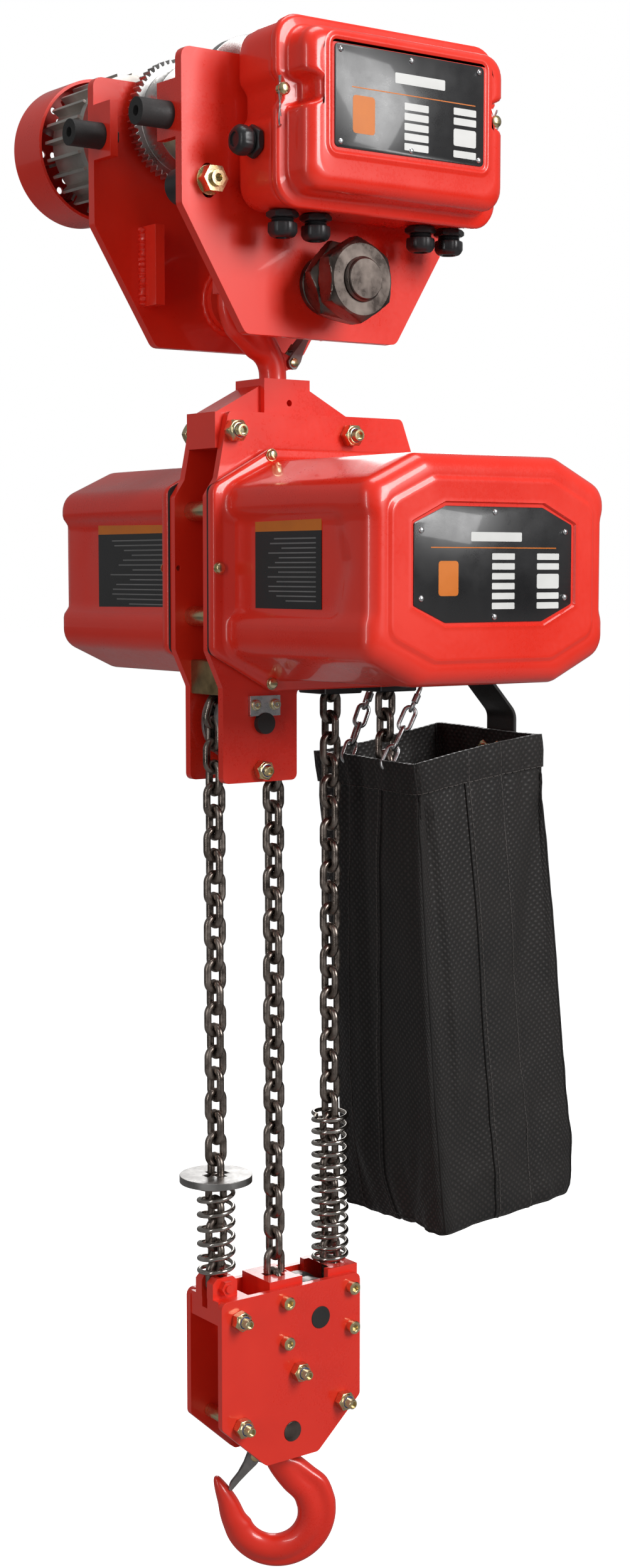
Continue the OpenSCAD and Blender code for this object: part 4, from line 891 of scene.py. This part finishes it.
def cap_screw(metal, x, z, r, out, s):
    """A socket head screw standing out of a plate."""
    y = s * out
    sides = 36
    place = place_at((x, y, z), (0, s, 0))
    head = r * 1.62
    rings = []
    for radius, h in ((head * 0.98, 0), (head, 0.4), (head, 2 * r - 0.8), (head - 0.8, 2 * r),
                      (r * 0.95, 2 * r), (r * 0.82, 2 * r - 0.3), (r * 0.8, r)):
        ring = []
        for k in range(sides):
            a = TAU * k / sides
            q = radius
            if radius < r * 0.9:
                q = radius / math.cos(math.radians((math.degrees(a) % 60) - 30)) * 0.95
            ring.append(place @ polar(q, a, h))
        rings.append(ring)
    loft(metal, rings)


def spacer(metal, x, z, radius, half):
    lathe(metal, [(radius - 0.6, 0), (radius, 0.6), (radius, 2 * half - 0.6), (radius - 0.6, 2 * half)],
          (x, -half, z), (0, 1, 0), 36)


YOKE_BOLTS = ((-66.5, 127.5), (66.5, 127.5))
FOOT_BOLT = (-36, -186.7)
FRAME_SPACERS = ((-76, 55), (-76, -43), (184, -50), (184, 40))
BLOCK_SPACERS = ((-60.5, -819.8), (60.5, -819.8), (7, -778.6))
ANCHOR_BOLT = (-62.5, -713.7)
GUIDE_SCREWS = ((-8, -707), (71, -707), (-8, -747), (71, -747))


def bolts():
    low, high = box("frame_plates")
    out = (high.y - low.y) / 2
    half_gap = out - 8
    metal, insert = bmesh.new(), bmesh.new()
    for x, z in YOKE_BOLTS:
        lock_bolt(metal, insert, x, hoist_z + z, 6, 19, out, 17, x)
    foot_x, foot_z = FOOT_BOLT[0], hoist_z + FOOT_BOLT[1]
    lock_bolt(metal, insert, foot_x, foot_z, 5, 17, out, 15)
    for x, z in FRAME_SPACERS:
        spacer(metal, x, hoist_z + z, 9, half_gap)
    spacer(metal, foot_x, foot_z, 5.8, half_gap)
    make("frame_bolt_metal", metal, GOLD, "hoist_frame", "yellow_zinc", ("frame_bolts",))
    make("frame_bolt_rings", insert, BLUE, "hoist_frame", "black_plastic")
    low, high = box("block_plates")
    out = (high.y - low.y) / 2
    metal, insert = bmesh.new(), bmesh.new()
    for x, z in BLOCK_SPACERS + (ANCHOR_BOLT,):
        lock_bolt(metal, insert, x, hoist_z + z, 5, 17, out, 19, x * z)
    for x, z in BLOCK_SPACERS:
        spacer(metal, x, hoist_z + z, 6.5, out - 7)
    for s in (-1, 1):
        for x, z in GUIDE_SCREWS:
            cap_screw(metal, x, hoist_z + z, 4, out, s)
    make("block_bolt_metal", metal, GOLD, "lower_block", "yellow_zinc", ("block_bolts",))
    make("block_bolt_rings", insert, BLUE, "lower_block", "black_plastic")


bolts()


COVER_SCREWS = ((-33, 106), (140, 106), (-33, -105), (140, -105), (-91, 2), (198, 2))


def flange_screws():
    """Cross-head screws round both cover flanges."""
    metal = bmesh.new()
    low, high = box("cover_screws")
    top = (high.y - low.y) / 2 - 4.2
    for x, z in COVER_SCREWS:
        for s in (-1, 1):
            at = (x, s * top, hoist_z + z)
            lathe(metal, [(2.4, -14), (2.4, 0), (6.0, 0), (6.0, 0.9), (5.8, 1.3), (4.9, 1.3), (5.0, 2.6),
                          (4.4, 3.7), (3.2, 4.4), (1.4, 4.7)], at, (0, s, 0), 30)
    make("cover_screw_metal", metal, GOLD, "hoist_frame", "yellow_zinc", ("cover_screws",))


flange_screws()


def load_shaft_ends():
    """Turned collars, jam nut and nut on each end of the load shaft, and the threaded shaft."""
    z = joint_at("top_hook_swing").z
    dark = bmesh.new()
    start = 80.0
    collar_step = 6.6
    flats = 66.5
    end = box("load_shaft")[1].y
    for s in (-1, 1):
        for i, r in enumerate((26.5, 26.2, 26.5)):
            lathe(dark, [(r - 0.8, 0.1), (r, 0.9), (r, 5.3), (r - 0.8, 6.1)],
                  (0, s * (start + i * collar_step), z), (0, s, 0), 64)
        hexagon(dark, flats, 15.6, (0, s * (start + 20.4), z), (0, s, 0), 0.35)
        hexagon(dark, flats, 22, (0, s * (start + 38), z), (0, s, 0), 0.05)
    make("load_nut_faces", dark, OXIDE, "trolley", "dark_oxide", ("load_shaft_nuts",), sharp=30)
    shaft = bmesh.new()
    for s in (-1, 1):
        profile = [(20, 0), (20, 70)] + thread_profile(20, 78, end - 3, 2.4)
        profile += [(18.2, end - 2.4), (18.2, end - 0.8), (17.4, end), (15.0, end)]
        lathe(shaft, profile, (0, 0, z), (0, s, 0), 64)
    make("load_shaft_bar", shaft, OXIDE, "trolley", "bright_steel", ("load_shaft",), sharp=40)


load_shaft_ends()


# ---- bag

RIM = 30.0


def bag_place():
    """The bag's own frame: rim centre, leaning with the bag."""
    return Matrix.Translation((193, 0, hoist_z - 176.5)) @ Matrix.Rotation(math.radians(-5.8), 4, "Y")


ROWS = 74
BAG_DEPTH = 476.0
BAG_HALF_X, BAG_SPREAD_X = 81.5, 6.5
BAG_HALF_Y, BAG_SPREAD_Y = 82.5, 6.0
WALL_SHARE = 0.84
CLOTH_CAP = 5 * MM
GIRTH_M = 0.648
ROW_M = 0.0063
BAG_SHIFT = 4.0
PLEAT = 63.6


def bag_rows():
    """Rings of the bag from the rim to the middle of its floor, in the bag's own frame."""
    rings = []
    for i in range(ROWS + 1):
        t = i / ROWS
        depth = BAG_DEPTH * min(1.0, t / WALL_SHARE)
        shrink = 1.0 if t < WALL_SHARE else 1 - 0.97 * (t - WALL_SHARE) / (1 - WALL_SHARE)
        down = smooth(depth / BAG_DEPTH * 0.9)
        turn_in = 3.0 * smooth((depth - BAG_DEPTH + 16) / 16) ** 2
        neck = 1.8 * math.exp(-((depth - RIM) / 10) ** 2)
        half_x = (BAG_HALF_X + BAG_SPREAD_X * down - turn_in - neck) * shrink
        half_y = (BAG_HALF_Y + BAG_SPREAD_Y * down - turn_in - neck) * shrink
        radius = (5 + 7 * smooth(depth / BAG_DEPTH)) * max(shrink, 0.03)
        pts = rounded(oblong(half_x, half_y), radius, 8, [23] * 4)
        ring = []
        for j, p in enumerate(pts):
            a = TAU * j / len(pts)
            gather = math.sin(31 * a + 1.3) * math.exp(-((depth - RIM - 8) / 34) ** 2)
            folds = math.sin(7 * a + 0.9 + depth * 0.004) * smooth(depth / 130)
            folds *= smooth((BAG_DEPTH - depth) / 90 + 0.2)
            crumple = noise.noise(Vector((p.x * 0.035, p.y * 0.035, depth * 0.018)))
            crumple += 0.5 * noise.noise(Vector((p.x * 0.09, p.y * 0.09, depth * 0.05 + 7)))
            low = smooth((depth - 300) / 150)
            out = Vector((p.x, p.y)).normalized() if p.length > 1 else Vector((0, 0))
            wave = (1.8 * gather + 2.3 * folds + (1.6 + 2.6 * low) * crumple) * max(shrink, 0.2)
            start = smooth((depth - RIM) / 22) * (1 - smooth((depth - 300) / 150))
            crease = math.exp(-((j - PLEAT) / 1.3) ** 2) + 0.45 * math.exp(-((j - PLEAT + 25) / 1.2) ** 2)
            ridge = math.exp(-((j - PLEAT - 6) / 3.2) ** 2) + 0.6 * math.exp(-((j - PLEAT + 5) / 2.6) ** 2)
            wave += start * (3.4 * ridge - 7.0 * crease)
            sag = (1 - shrink) * (3 + 4 * noise.noise(Vector((p.x * 0.03, p.y * 0.03, 4))))
            rim = (3.0 + 2.5 * p.x / 82 + 1.6 * math.sin(3 * a + 0.5)) * math.exp(-depth / 60)
            ring.append(Vector((p.x + out.x * wave, p.y + out.y * wave + BAG_SHIFT, -depth + sag + rim)))
        rings.append(ring)
    return rings


def sim_cloth(mesh, pinned):
    """Lets the bag hang and fill a little, and returns its vertices in metres."""
    obj = bpy.data.objects.new("bag_sim", mesh)
    bpy.context.scene.collection.objects.link(obj)
    group = obj.vertex_groups.new(name="pin")
    group.add(pinned, 1.0, "REPLACE")
    mod = obj.modifiers.new("cloth", "CLOTH")
    s = mod.settings
    s.quality = 6
    s.mass = 0.4
    s.tension_stiffness = s.compression_stiffness = 25
    s.shear_stiffness = 10
    s.bending_stiffness = 3
    s.vertex_group_mass = "pin"
    s.use_pressure = True
    s.uniform_pressure_force = 0.12
    mod.collision_settings.use_collision = False
    mod.point_cache.frame_start = 1
    mod.point_cache.frame_end = 26
    scene = bpy.context.scene
    for f in range(1, 25):
        scene.frame_set(f)
    shaped = obj.evaluated_get(bpy.context.evaluated_depsgraph_get())
    points = [obj.matrix_world @ v.co for v in shaped.data.vertices]
    bpy.data.objects.remove(obj)
    scene.frame_set(1)
    return points


def bag():
    place = bag_place()
    rows = bag_rows()
    width = len(rows[0])
    rest = [[place @ p for p in row] for row in rows]
    mesh = bpy.data.meshes.new("bag_rest")
    flat = [p * MM for row in rest for p in row]
    faces = []
    for i in range(len(rest) - 1):
        for j in range(width):
            k = (j + 1) % width
            faces.append((i * width + j, i * width + k, (i + 1) * width + k, (i + 1) * width + j))
    faces.append(tuple((len(rest) - 1) * width + j for j in range(width)))
    mesh.from_pydata(flat, [], faces)
    hem_rows = [i for i, row in enumerate(rows) if -row[0].z <= RIM + 2]
    pinned = [i * width + j for i in hem_rows for j in range(width)]
    moved = sim_cloth(mesh.copy(), pinned)
    points = []
    for v, p in zip(mesh.vertices, moved):
        step = p - v.co
        points.append(v.co + (step if step.length < CLOTH_CAP else step.normalized() * CLOTH_CAP))
    grid = [[points[i * width + j] / MM for j in range(width)] for i in range(len(rest))]

    def spot(i, j):
        k = math.floor(j)
        return grid[i][k % width].lerp(grid[i][(k + 1) % width], j - k)

    def normal(i, j):
        j = round(j) % width
        a = grid[min(i + 1, len(grid) - 1)][j] - grid[max(i - 1, 0)][j]
        b = grid[i][(j + 1) % width] - grid[i][j - 1]
        n = b.cross(a)
        return n.normalized() if n.length > 1e-6 else Vector((0, 0, -1))

    def cloth_mesh(name, rows_used, columns, lift, thick, replaced=(), drift=lambda i: 0.0):
        """A layer of the cloth over some rows and columns, lifted off by lift and thick."""
        bm = bmesh.new()
        uv = bm.loops.layers.uv.new("weave")
        whole = len(columns) == width
        where = {}
        for i in rows_used:
            for j in columns:
                at = j + drift(i)
                for side, d in enumerate((lift, lift + thick)):
                    where[i, j, side] = bm.verts.new(spot(i, at) + normal(i, at) * d)
        spans = list(zip(columns, columns[1:] + columns[:1])) if whole else list(zip(columns, columns[1:]))
        around = GIRTH_M / width

        def face(keys):
            f = bm.faces.new([where[k] for k in keys])
            for loop, (i, j, _) in zip(f.loops, keys):
                jj = j if not (j == 0 and any(k[1] == width - 1 for k in keys)) else width
                loop[uv].uv = ((jj + drift(i)) * around, -i * ROW_M)

        for i, i2 in zip(rows_used, rows_used[1:]):
            for j, k in spans:
                face([(i, j, 1), (i, k, 1), (i2, k, 1), (i2, j, 1)])
                face([(i2, j, 0), (i2, k, 0), (i, k, 0), (i, j, 0)])
        for i, flip in ((rows_used[0], False), (rows_used[-1], True)):
            for j, k in spans:
                keys = [(i, j, 0), (i, k, 0), (i, k, 1), (i, j, 1)]
                face(keys[::-1] if flip else keys)
        if not whole:
            for j, flip in ((columns[0], True), (columns[-1], False)):
                for i, i2 in zip(rows_used, rows_used[1:]):
                    keys = [(i, j, 0), (i, j, 1), (i2, j, 1), (i2, j, 0)]
                    face(keys[::-1] if flip else keys)
        return make(name, bm, WEAVE, "hoist_frame", "mesh_fabric", replaced, sharp=50)

    every = list(range(width))
    wall_rows = list(range(len(rest)))
    cloth_mesh("bag_cloth", wall_rows, every, -0.8, 1.4, ("chain_bag",))
    cloth_mesh("bag_hem", hem_rows, every, 0.5, 2.2)
    quarter = width // 4
    last_wall = int(ROWS * WALL_SHARE)

    def drifts(q):
        """The two seen strips are sewn a little off the middle; one wanders as it goes down."""
        if q == 1:
            return lambda i: -0.6
        if q == 2:
            return lambda i: 0.2 + 4.2 * smooth(i / last_wall * 1.15)
        return lambda i: 0.0

    strips = []
    for q in range(4):
        middle = q * quarter + 20
        strips.append((middle - 4, middle + 4, drifts(q)))
    for n, (a, b, drift) in enumerate(strips):
        cloth_mesh(f"bag_strip_{n + 1}", wall_rows[:-4], list(range(a, b + 1)), 0.7, 1.5, drift=drift)

    stitches = bmesh.new()

    def stitch_line(cells, lift):
        for (i, j), (i2, j2) in zip(cells, cells[1:]):
            a = spot(i, j) + normal(i, j) * lift
            b = spot(i2, j2) + normal(i2, j2) * lift
            a, b = a.lerp(b, 0.12), a.lerp(b, 0.88)
            tube(stitches, [a, a.lerp(b, 0.5) + normal(i, j) * 0.3, b], 0.5, 6)

    last = hem_rows[-1]
    stitch_line([(last, j) for j in range(width + 1)], 2.7)
    for a, b, drift in strips:
        for j in (a + 0.7, b - 0.7):
            stitch_line([(i, j + drift(i)) for i in wall_rows[:-6]], 2.3)
    stitch_line([(last_wall, j) for j in range(width + 1)], 0.9)
    make("bag_stitching", stitches, THREAD, "hoist_frame", "mesh_fabric")
    piping = bmesh.new()
    for q in range(4):
        j = q * quarter + 4
        tube(piping, [grid[i][j] + normal(i, j) * 0.6 for i in range(last + 1, last_wall + 1)], 1.2, 8)
    tube(piping, [grid[last_wall][j] + Vector((0, 0, -0.5)) for j in every], 1.4, 8, closed=True)
    make("bag_piping", piping, WEAVE, "hoist_frame", "mesh_fabric")


bag()


# ---- bag hangers

def link_path(length, width, wire):
    """The centre line of a chain link, long along Z, in X and Z."""
    r = (width - wire) / 2
    straight = length / 2 - wire / 2 - r
    path = []
    for start, end in ((0, straight), (math.pi, -straight)):
        for k in range(11):
            a = start + math.pi * k / 10
            path.append(Vector((r * math.cos(a), 0, end + r * math.sin(a))))
    return path


HANGER_WIRE, HANGER_WIDTH = 4.2, 15.5


def hanger(name, top, bottom, count):
    """A short welded chain from the frame to the bag's rim, with a quick link at the top."""
    bm = bmesh.new()
    reach = bottom - top
    step = reach.length / count
    turn_to = reach.to_track_quat("Z", "Y").to_matrix().to_4x4()
    for i in range(count):
        wire = HANGER_WIRE if i else HANGER_WIRE * 0.9
        path = link_path(step + 2 * HANGER_WIRE * 0.9, HANGER_WIDTH, wire)
        place = Matrix.Translation(top + reach * ((i + 0.5) / count)) @ turn_to @ Matrix.Rotation(
            math.radians(90 * i + 25), 4, "Z")
        tube(bm, [place @ p for p in path], wire / 2, 12, closed=True)
        if i == 0:
            mid = [place @ Vector(((HANGER_WIDTH - HANGER_WIRE) / 2, 0, z)) for z in (-5, -4, 4, 5)]
            tube(bm, mid, [2.2, 3.4, 3.4, 2.2], 14)
    make(name, bm, ZINC, "hoist_frame", "zinc")


def strap():
    """The bent black strap from the frame to the bag's far wall, with its two bolts."""
    half = 21.5
    outer = box("bag_hangers")[1].x - 2
    path = [Vector((206, 0, hoist_z - 24)), Vector((206, 0, hoist_z - 58)), Vector((outer, 0, hoist_z - 146)),
            Vector((outer, 0, hoist_z - 199))]
    fine = [path[0]]
    for i in (1, 2):
        a, p, b = path[i - 1], path[i], path[i + 1]
        for t in range(7):
            u = t / 6
            s, e = p.lerp(a, 7 / (p - a).length), p.lerp(b, 7 / (b - p).length)
            fine.append((s * (1 - u) + p * u).lerp(p * (1 - u) + e * u, u))
    fine.append(path[-1])
    bm = bmesh.new()
    rings = []
    for i, p in enumerate(fine):
        tangent = (fine[min(i + 1, len(fine) - 1)] - fine[max(i - 1, 0)]).normalized()
        across = Vector((0, 1, 0)).cross(tangent).normalized()
        rings.append([p + across * x + Vector((0, y, 0))
                      for x, y in ((2, half - 0.8), (1.4, half), (-1.4, half), (-2, half - 0.8),
                                   (-2, 0.8 - half), (-1.4, -half), (1.4, -half), (2, 0.8 - half))])
    loft(bm, rings)
    make("bag_strap", bm, BLACK_STEEL, "hoist_frame", "black_steel", ("bag_hangers",))
    bm = bmesh.new()
    for y in (-11, 11):
        z = hoist_z - 182
        hexagon(bm, 13, 6, (outer - 10, y, z), (-1, 0, 0))
        lathe(bm, thread_profile(4, 0, 20, 1.2), (outer, y, z), (-1, 0, 0), 24)
        lathe(bm, [(7.5, 0), (7.5, 1.4)], (outer - 8.4, y, z), (-1, 0, 0), 30)
        hexagon(bm, 13, 5, (outer + 2, y, z), (1, 0, 0))
    make("bag_strap_bolts", bm, GOLD, "hoist_frame", "yellow_zinc")


strap()
hanger("bag_chain_rear", Vector((146, 37, hoist_z - 119)), Vector((113, 34, hoist_z - 190)), 4)
hanger("bag_chain_front", Vector((150, -37, hoist_z - 117)), Vector((113, -31, hoist_z - 192)), 4)


# ---- carried-over CAD nodes

CARRIED = {
    PAINT: ["trolley_plate_front", "trolley_plate_rear", "yoke", "frame_plates", "block_plates",
            "block_guides", "chain_anchor", "fan_cowl", "travel_gearbox"],
    RUBBER: ["bumpers", "cover_gaskets"],
    GOLD: ["trolley_axles"],
    DEVICE: ["contactors"],
    ALLOY: ["travel_motor", "motor_stator", "gear_case"],
    STEEL: ["travel_rotor", "travel_pinion", "drive_wheel_left", "drive_wheel_right", "idle_wheel_left",
            "idle_wheel_right", "motor_rotor", "clutch_gear", "intermediate_shaft"],
    OXIDE: ["crosshead"],
    PLASTIC: [name for name in nodes if name.startswith("guide_roller")],
    BLACK_STEEL: ["idler_axle", "sheave_axle"],
    ZINC: ["axle_retainer"],
    DISC: ["stop_disc"],
    CASTING: ["load_wheel", "idler_wheel", "block_sheave"],
}
BIG_EDGES = {"trolley_plate_front": 1.6, "trolley_plate_rear": 1.6, "yoke": 2.2, "frame_plates": 1.4,
             "block_plates": 1.2, "bumpers": 1.8, "block_guides": 1.0, "chain_anchor": 1.2}
for mat, names in CARRIED.items():
    for name in names:
        soften(name, mat, BIG_EDGES.get(name, 0.5))


CROSS = [(13, 4.4), (13, -4.4), (4.4, -4.4), (4.4, -13), (-4.4, -13), (-4.4, -4.4), (-13, -4.4), (-13, 4.4),
         (-4.4, 4.4), (-4.4, 13), (4.4, 13), (4.4, 4.4)]


def guides():
    """The two black chain guides and the brass-coloured shoe beside the idler wheel."""
    half = (box("chain_guides")[1].y - box("chain_guides")[0].y) / 2
    bm = bmesh.new()
    for x in (fall_3_x, slack_x):
        pts = rounded([(x + 23, half), (x + 23, -half), (x - 23, -half), (x - 23, half)], 5, 6, [4, 4, 4, 4])
        hole = [(x + across, along) for across, along in CROSS]
        inner = rounded(hole, 1, 2, [0] * 12)
        inner = [inner[int(i * len(inner) / len(pts))] for i in range(len(pts))]
        shift = max(range(len(pts)), key=lambda k: -sum((inner[(i + k) % len(inner)] - pts[i]).length
                                                         for i in range(len(pts))))
        inner = [inner[(i + shift) % len(inner)] for i in range(len(pts))]
        z = hoist_z - 119
        loft(bm, [[Vector((p.x, p.y, z + 20)) for p in inner], [Vector((p.x, p.y, z + 21)) for p in pts],
                  [Vector((p.x, p.y, z + 1)) for p in pts],
                  [Vector((x + (p.x - x) * 0.96, p.y * 0.96, z)) for p in pts],
                  [Vector((p.x, p.y, z)) for p in inner]], closed=True)
    make("guide_blocks", bm, PLASTIC, "hoist_frame", "black_plastic", ("chain_guides",))
    bm = bmesh.new()
    shoe = [(-78, -84), (-40, -84), (-40, -95.6), (-55, -101), (-70, -113), (-72, -116), (-78, -116)]
    pts = rounded(shoe, 1.6, 4, [0] * len(shoe))
    loft(bm, [[Vector((p.x * k + (1 - k) * -60, y, hoist_z + p.y)) for p in pts]
              for y, k in ((-half, 0.98), (1 - half, 1), (half - 1, 1), (half, 0.98))])
    make("idler_shoe", bm, BRONZE, "hoist_frame", "yellow_zinc")
    bm = bmesh.new()
    for s in (-1, 1):
        lathe(bm, [(4.6, 0), (5.2, 0.6), (5.2, 2.0), (4.4, 3.0), (2.6, 3.6), (1.6, 3.4), (0.9, 2.6)],
              (idler.x + s * 11, -36.2, idler.z + 17.5), (0, -1, 0), 30)
    make("retainer_screws", bm, GOLD, "hoist_frame", "yellow_zinc")


guides()
paint_only("load_chain_upper", CHAIN)
paint_only("load_chain_lower", CHAIN)


# ---- weld beads

def weld(bm, a, b, radius):
    """A rippled bead from a to b."""
    count = max(8, int((b - a).length / 1.6))
    path, radii = [], []
    for i in range(count + 1):
        p = a.lerp(b, i / count)
        path.append(p + Vector((noise.noise(p * 0.3), noise.noise(p * 0.3 + Vector((9, 0, 0))), 0)) * 0.8)
        radii.append(radius * (1 + 0.22 * math.sin(i * 2.2) + 0.15 * noise.noise(p * 0.5)))
    tube(bm, path, radii, 10)


def welds():
    bm = bmesh.new()
    for s in (-1, 1):
        for side in (-1, 1):
            for dx in (-5.5, 5.5):
                x = side * 94 + dx
                weld(bm, Vector((x, s * 69.5, -121)), Vector((x, s * 69.5, -49)), 4.2)
    make("plate_welds", bm, PAINT, "trolley", "red_paint")
    bm = bmesh.new()
    for s in (-1, 1):
        ring = []
        radii = []
        for i in range(72):
            a = TAU * i / 72
            ring.append(Vector((31 * math.cos(a), s * 69.6, joint_at("top_hook_swing").z + 31 * math.sin(a))))
            radii.append(3.2 + 0.6 * math.sin(i * 1.9))
        tube(bm, ring, radii, 10, closed=True)
    make("boss_welds", bm, PAINT, "trolley", "red_paint")


welds()


# ---- stage, light and camera

def pale_floor():
    """Near white to the camera, a soft grey to everything that reflects it."""
    mat = finish("pale_floor", (0.86, 0.86, 0.86), (0.84, 0.84, 0.84), 0.9, grain=40, bump=0.0)
    tree = mat.node_tree
    path = tree.nodes.new("ShaderNodeLightPath").outputs["Is Camera Ray"]
    grey = tree.nodes.new("ShaderNodeBsdfDiffuse")
    grey.inputs["Color"].default_value = (0.30, 0.30, 0.30, 1)
    glow = tree.nodes.new("ShaderNodeEmission")
    glow.inputs["Strength"].default_value = 0.80
    both = tree.nodes.new("ShaderNodeAddShader")
    pick = tree.nodes.new("ShaderNodeMixShader")
    tree.links.new(tree.nodes["Principled BSDF"].outputs[0], both.inputs[0])
    tree.links.new(glow.outputs[0], both.inputs[1])
    tree.links.new(path, pick.inputs[0])
    tree.links.new(grey.outputs[0], pick.inputs[1])
    tree.links.new(both.outputs[0], pick.inputs[2])
    tree.links.new(pick.outputs[0], tree.nodes["Material Output"].inputs["Surface"])
    return mat


def stage():
    """A wide flat pale floor under the hoist."""
    floor_z = cad_low.z - 0.02
    bm = bmesh.new()
    corners = [bm.verts.new((x, y, floor_z)) for x, y in ((-30, -30), (30, -30), (30, 30), (-30, 30))]
    bm.faces.new(corners)
    mesh = bpy.data.meshes.new("floor")
    bm.to_mesh(mesh)
    bm.free()
    mesh.materials.append(pale_floor())
    floor = bpy.data.objects.new("floor", mesh)
    bpy.context.scene.collection.objects.link(floor)


def area_light(name, at, target, size, power):
    lamp = bpy.data.lights.new(name, "AREA")
    lamp.shape = "RECTANGLE"
    lamp.size, lamp.size_y = size
    lamp.energy = power
    obj = bpy.data.objects.new(name, lamp)
    obj.location = at
    obj.rotation_euler = (Vector(target) - Vector(at)).to_track_quat("-Z", "Y").to_euler()
    bpy.context.scene.collection.objects.link(obj)


def lights():
    world = bpy.data.worlds.new("studio")
    world.use_nodes = True
    tree = world.node_tree
    background = tree.nodes["Background"]
    background.inputs["Color"].default_value = (1, 1, 1, 1)
    path = tree.nodes.new("ShaderNodeLightPath").outputs["Is Camera Ray"]
    tree.links.new(spread(tree, path, 0.24, 1.0, 0, 1), background.inputs["Strength"])
    bpy.context.scene.world = world
    centre = (0.05, 0, -0.55)
    area_light("key", (0.9, -2.9, 0.9), centre, (1.1, 1.8), 84)
    area_light("left_strip", (-2.5, -0.9, 0.0), centre, (0.22, 2.2), 15)
    area_light("top", (0.1, -0.3, 2.3), centre, (1.5, 1.1), 28)
    area_light("back", (1.6, 2.0, 0.4), centre, (0.8, 1.6), 16)


def camera():
    data = bpy.data.cameras.new("camera")
    data.lens = 50.4
    data.sensor_width = 36
    data.clip_start = 0.05
    cam = bpy.data.objects.new("camera", data)
    cam.location = (-1.203, -1.724, -0.369)
    heading, pitch = math.radians(36), math.radians(5.56)
    level = math.cos(pitch)
    look = Vector((math.sin(heading) * level, math.cos(heading) * level, -math.sin(pitch)))
    cam.rotation_euler = look.to_track_quat("-Z", "Y").to_euler()
    bpy.context.scene.collection.objects.link(cam)
    bpy.context.scene.camera = cam


stage()
lights()
camera()
bpy.context.scene.view_settings.view_transform = "Standard"
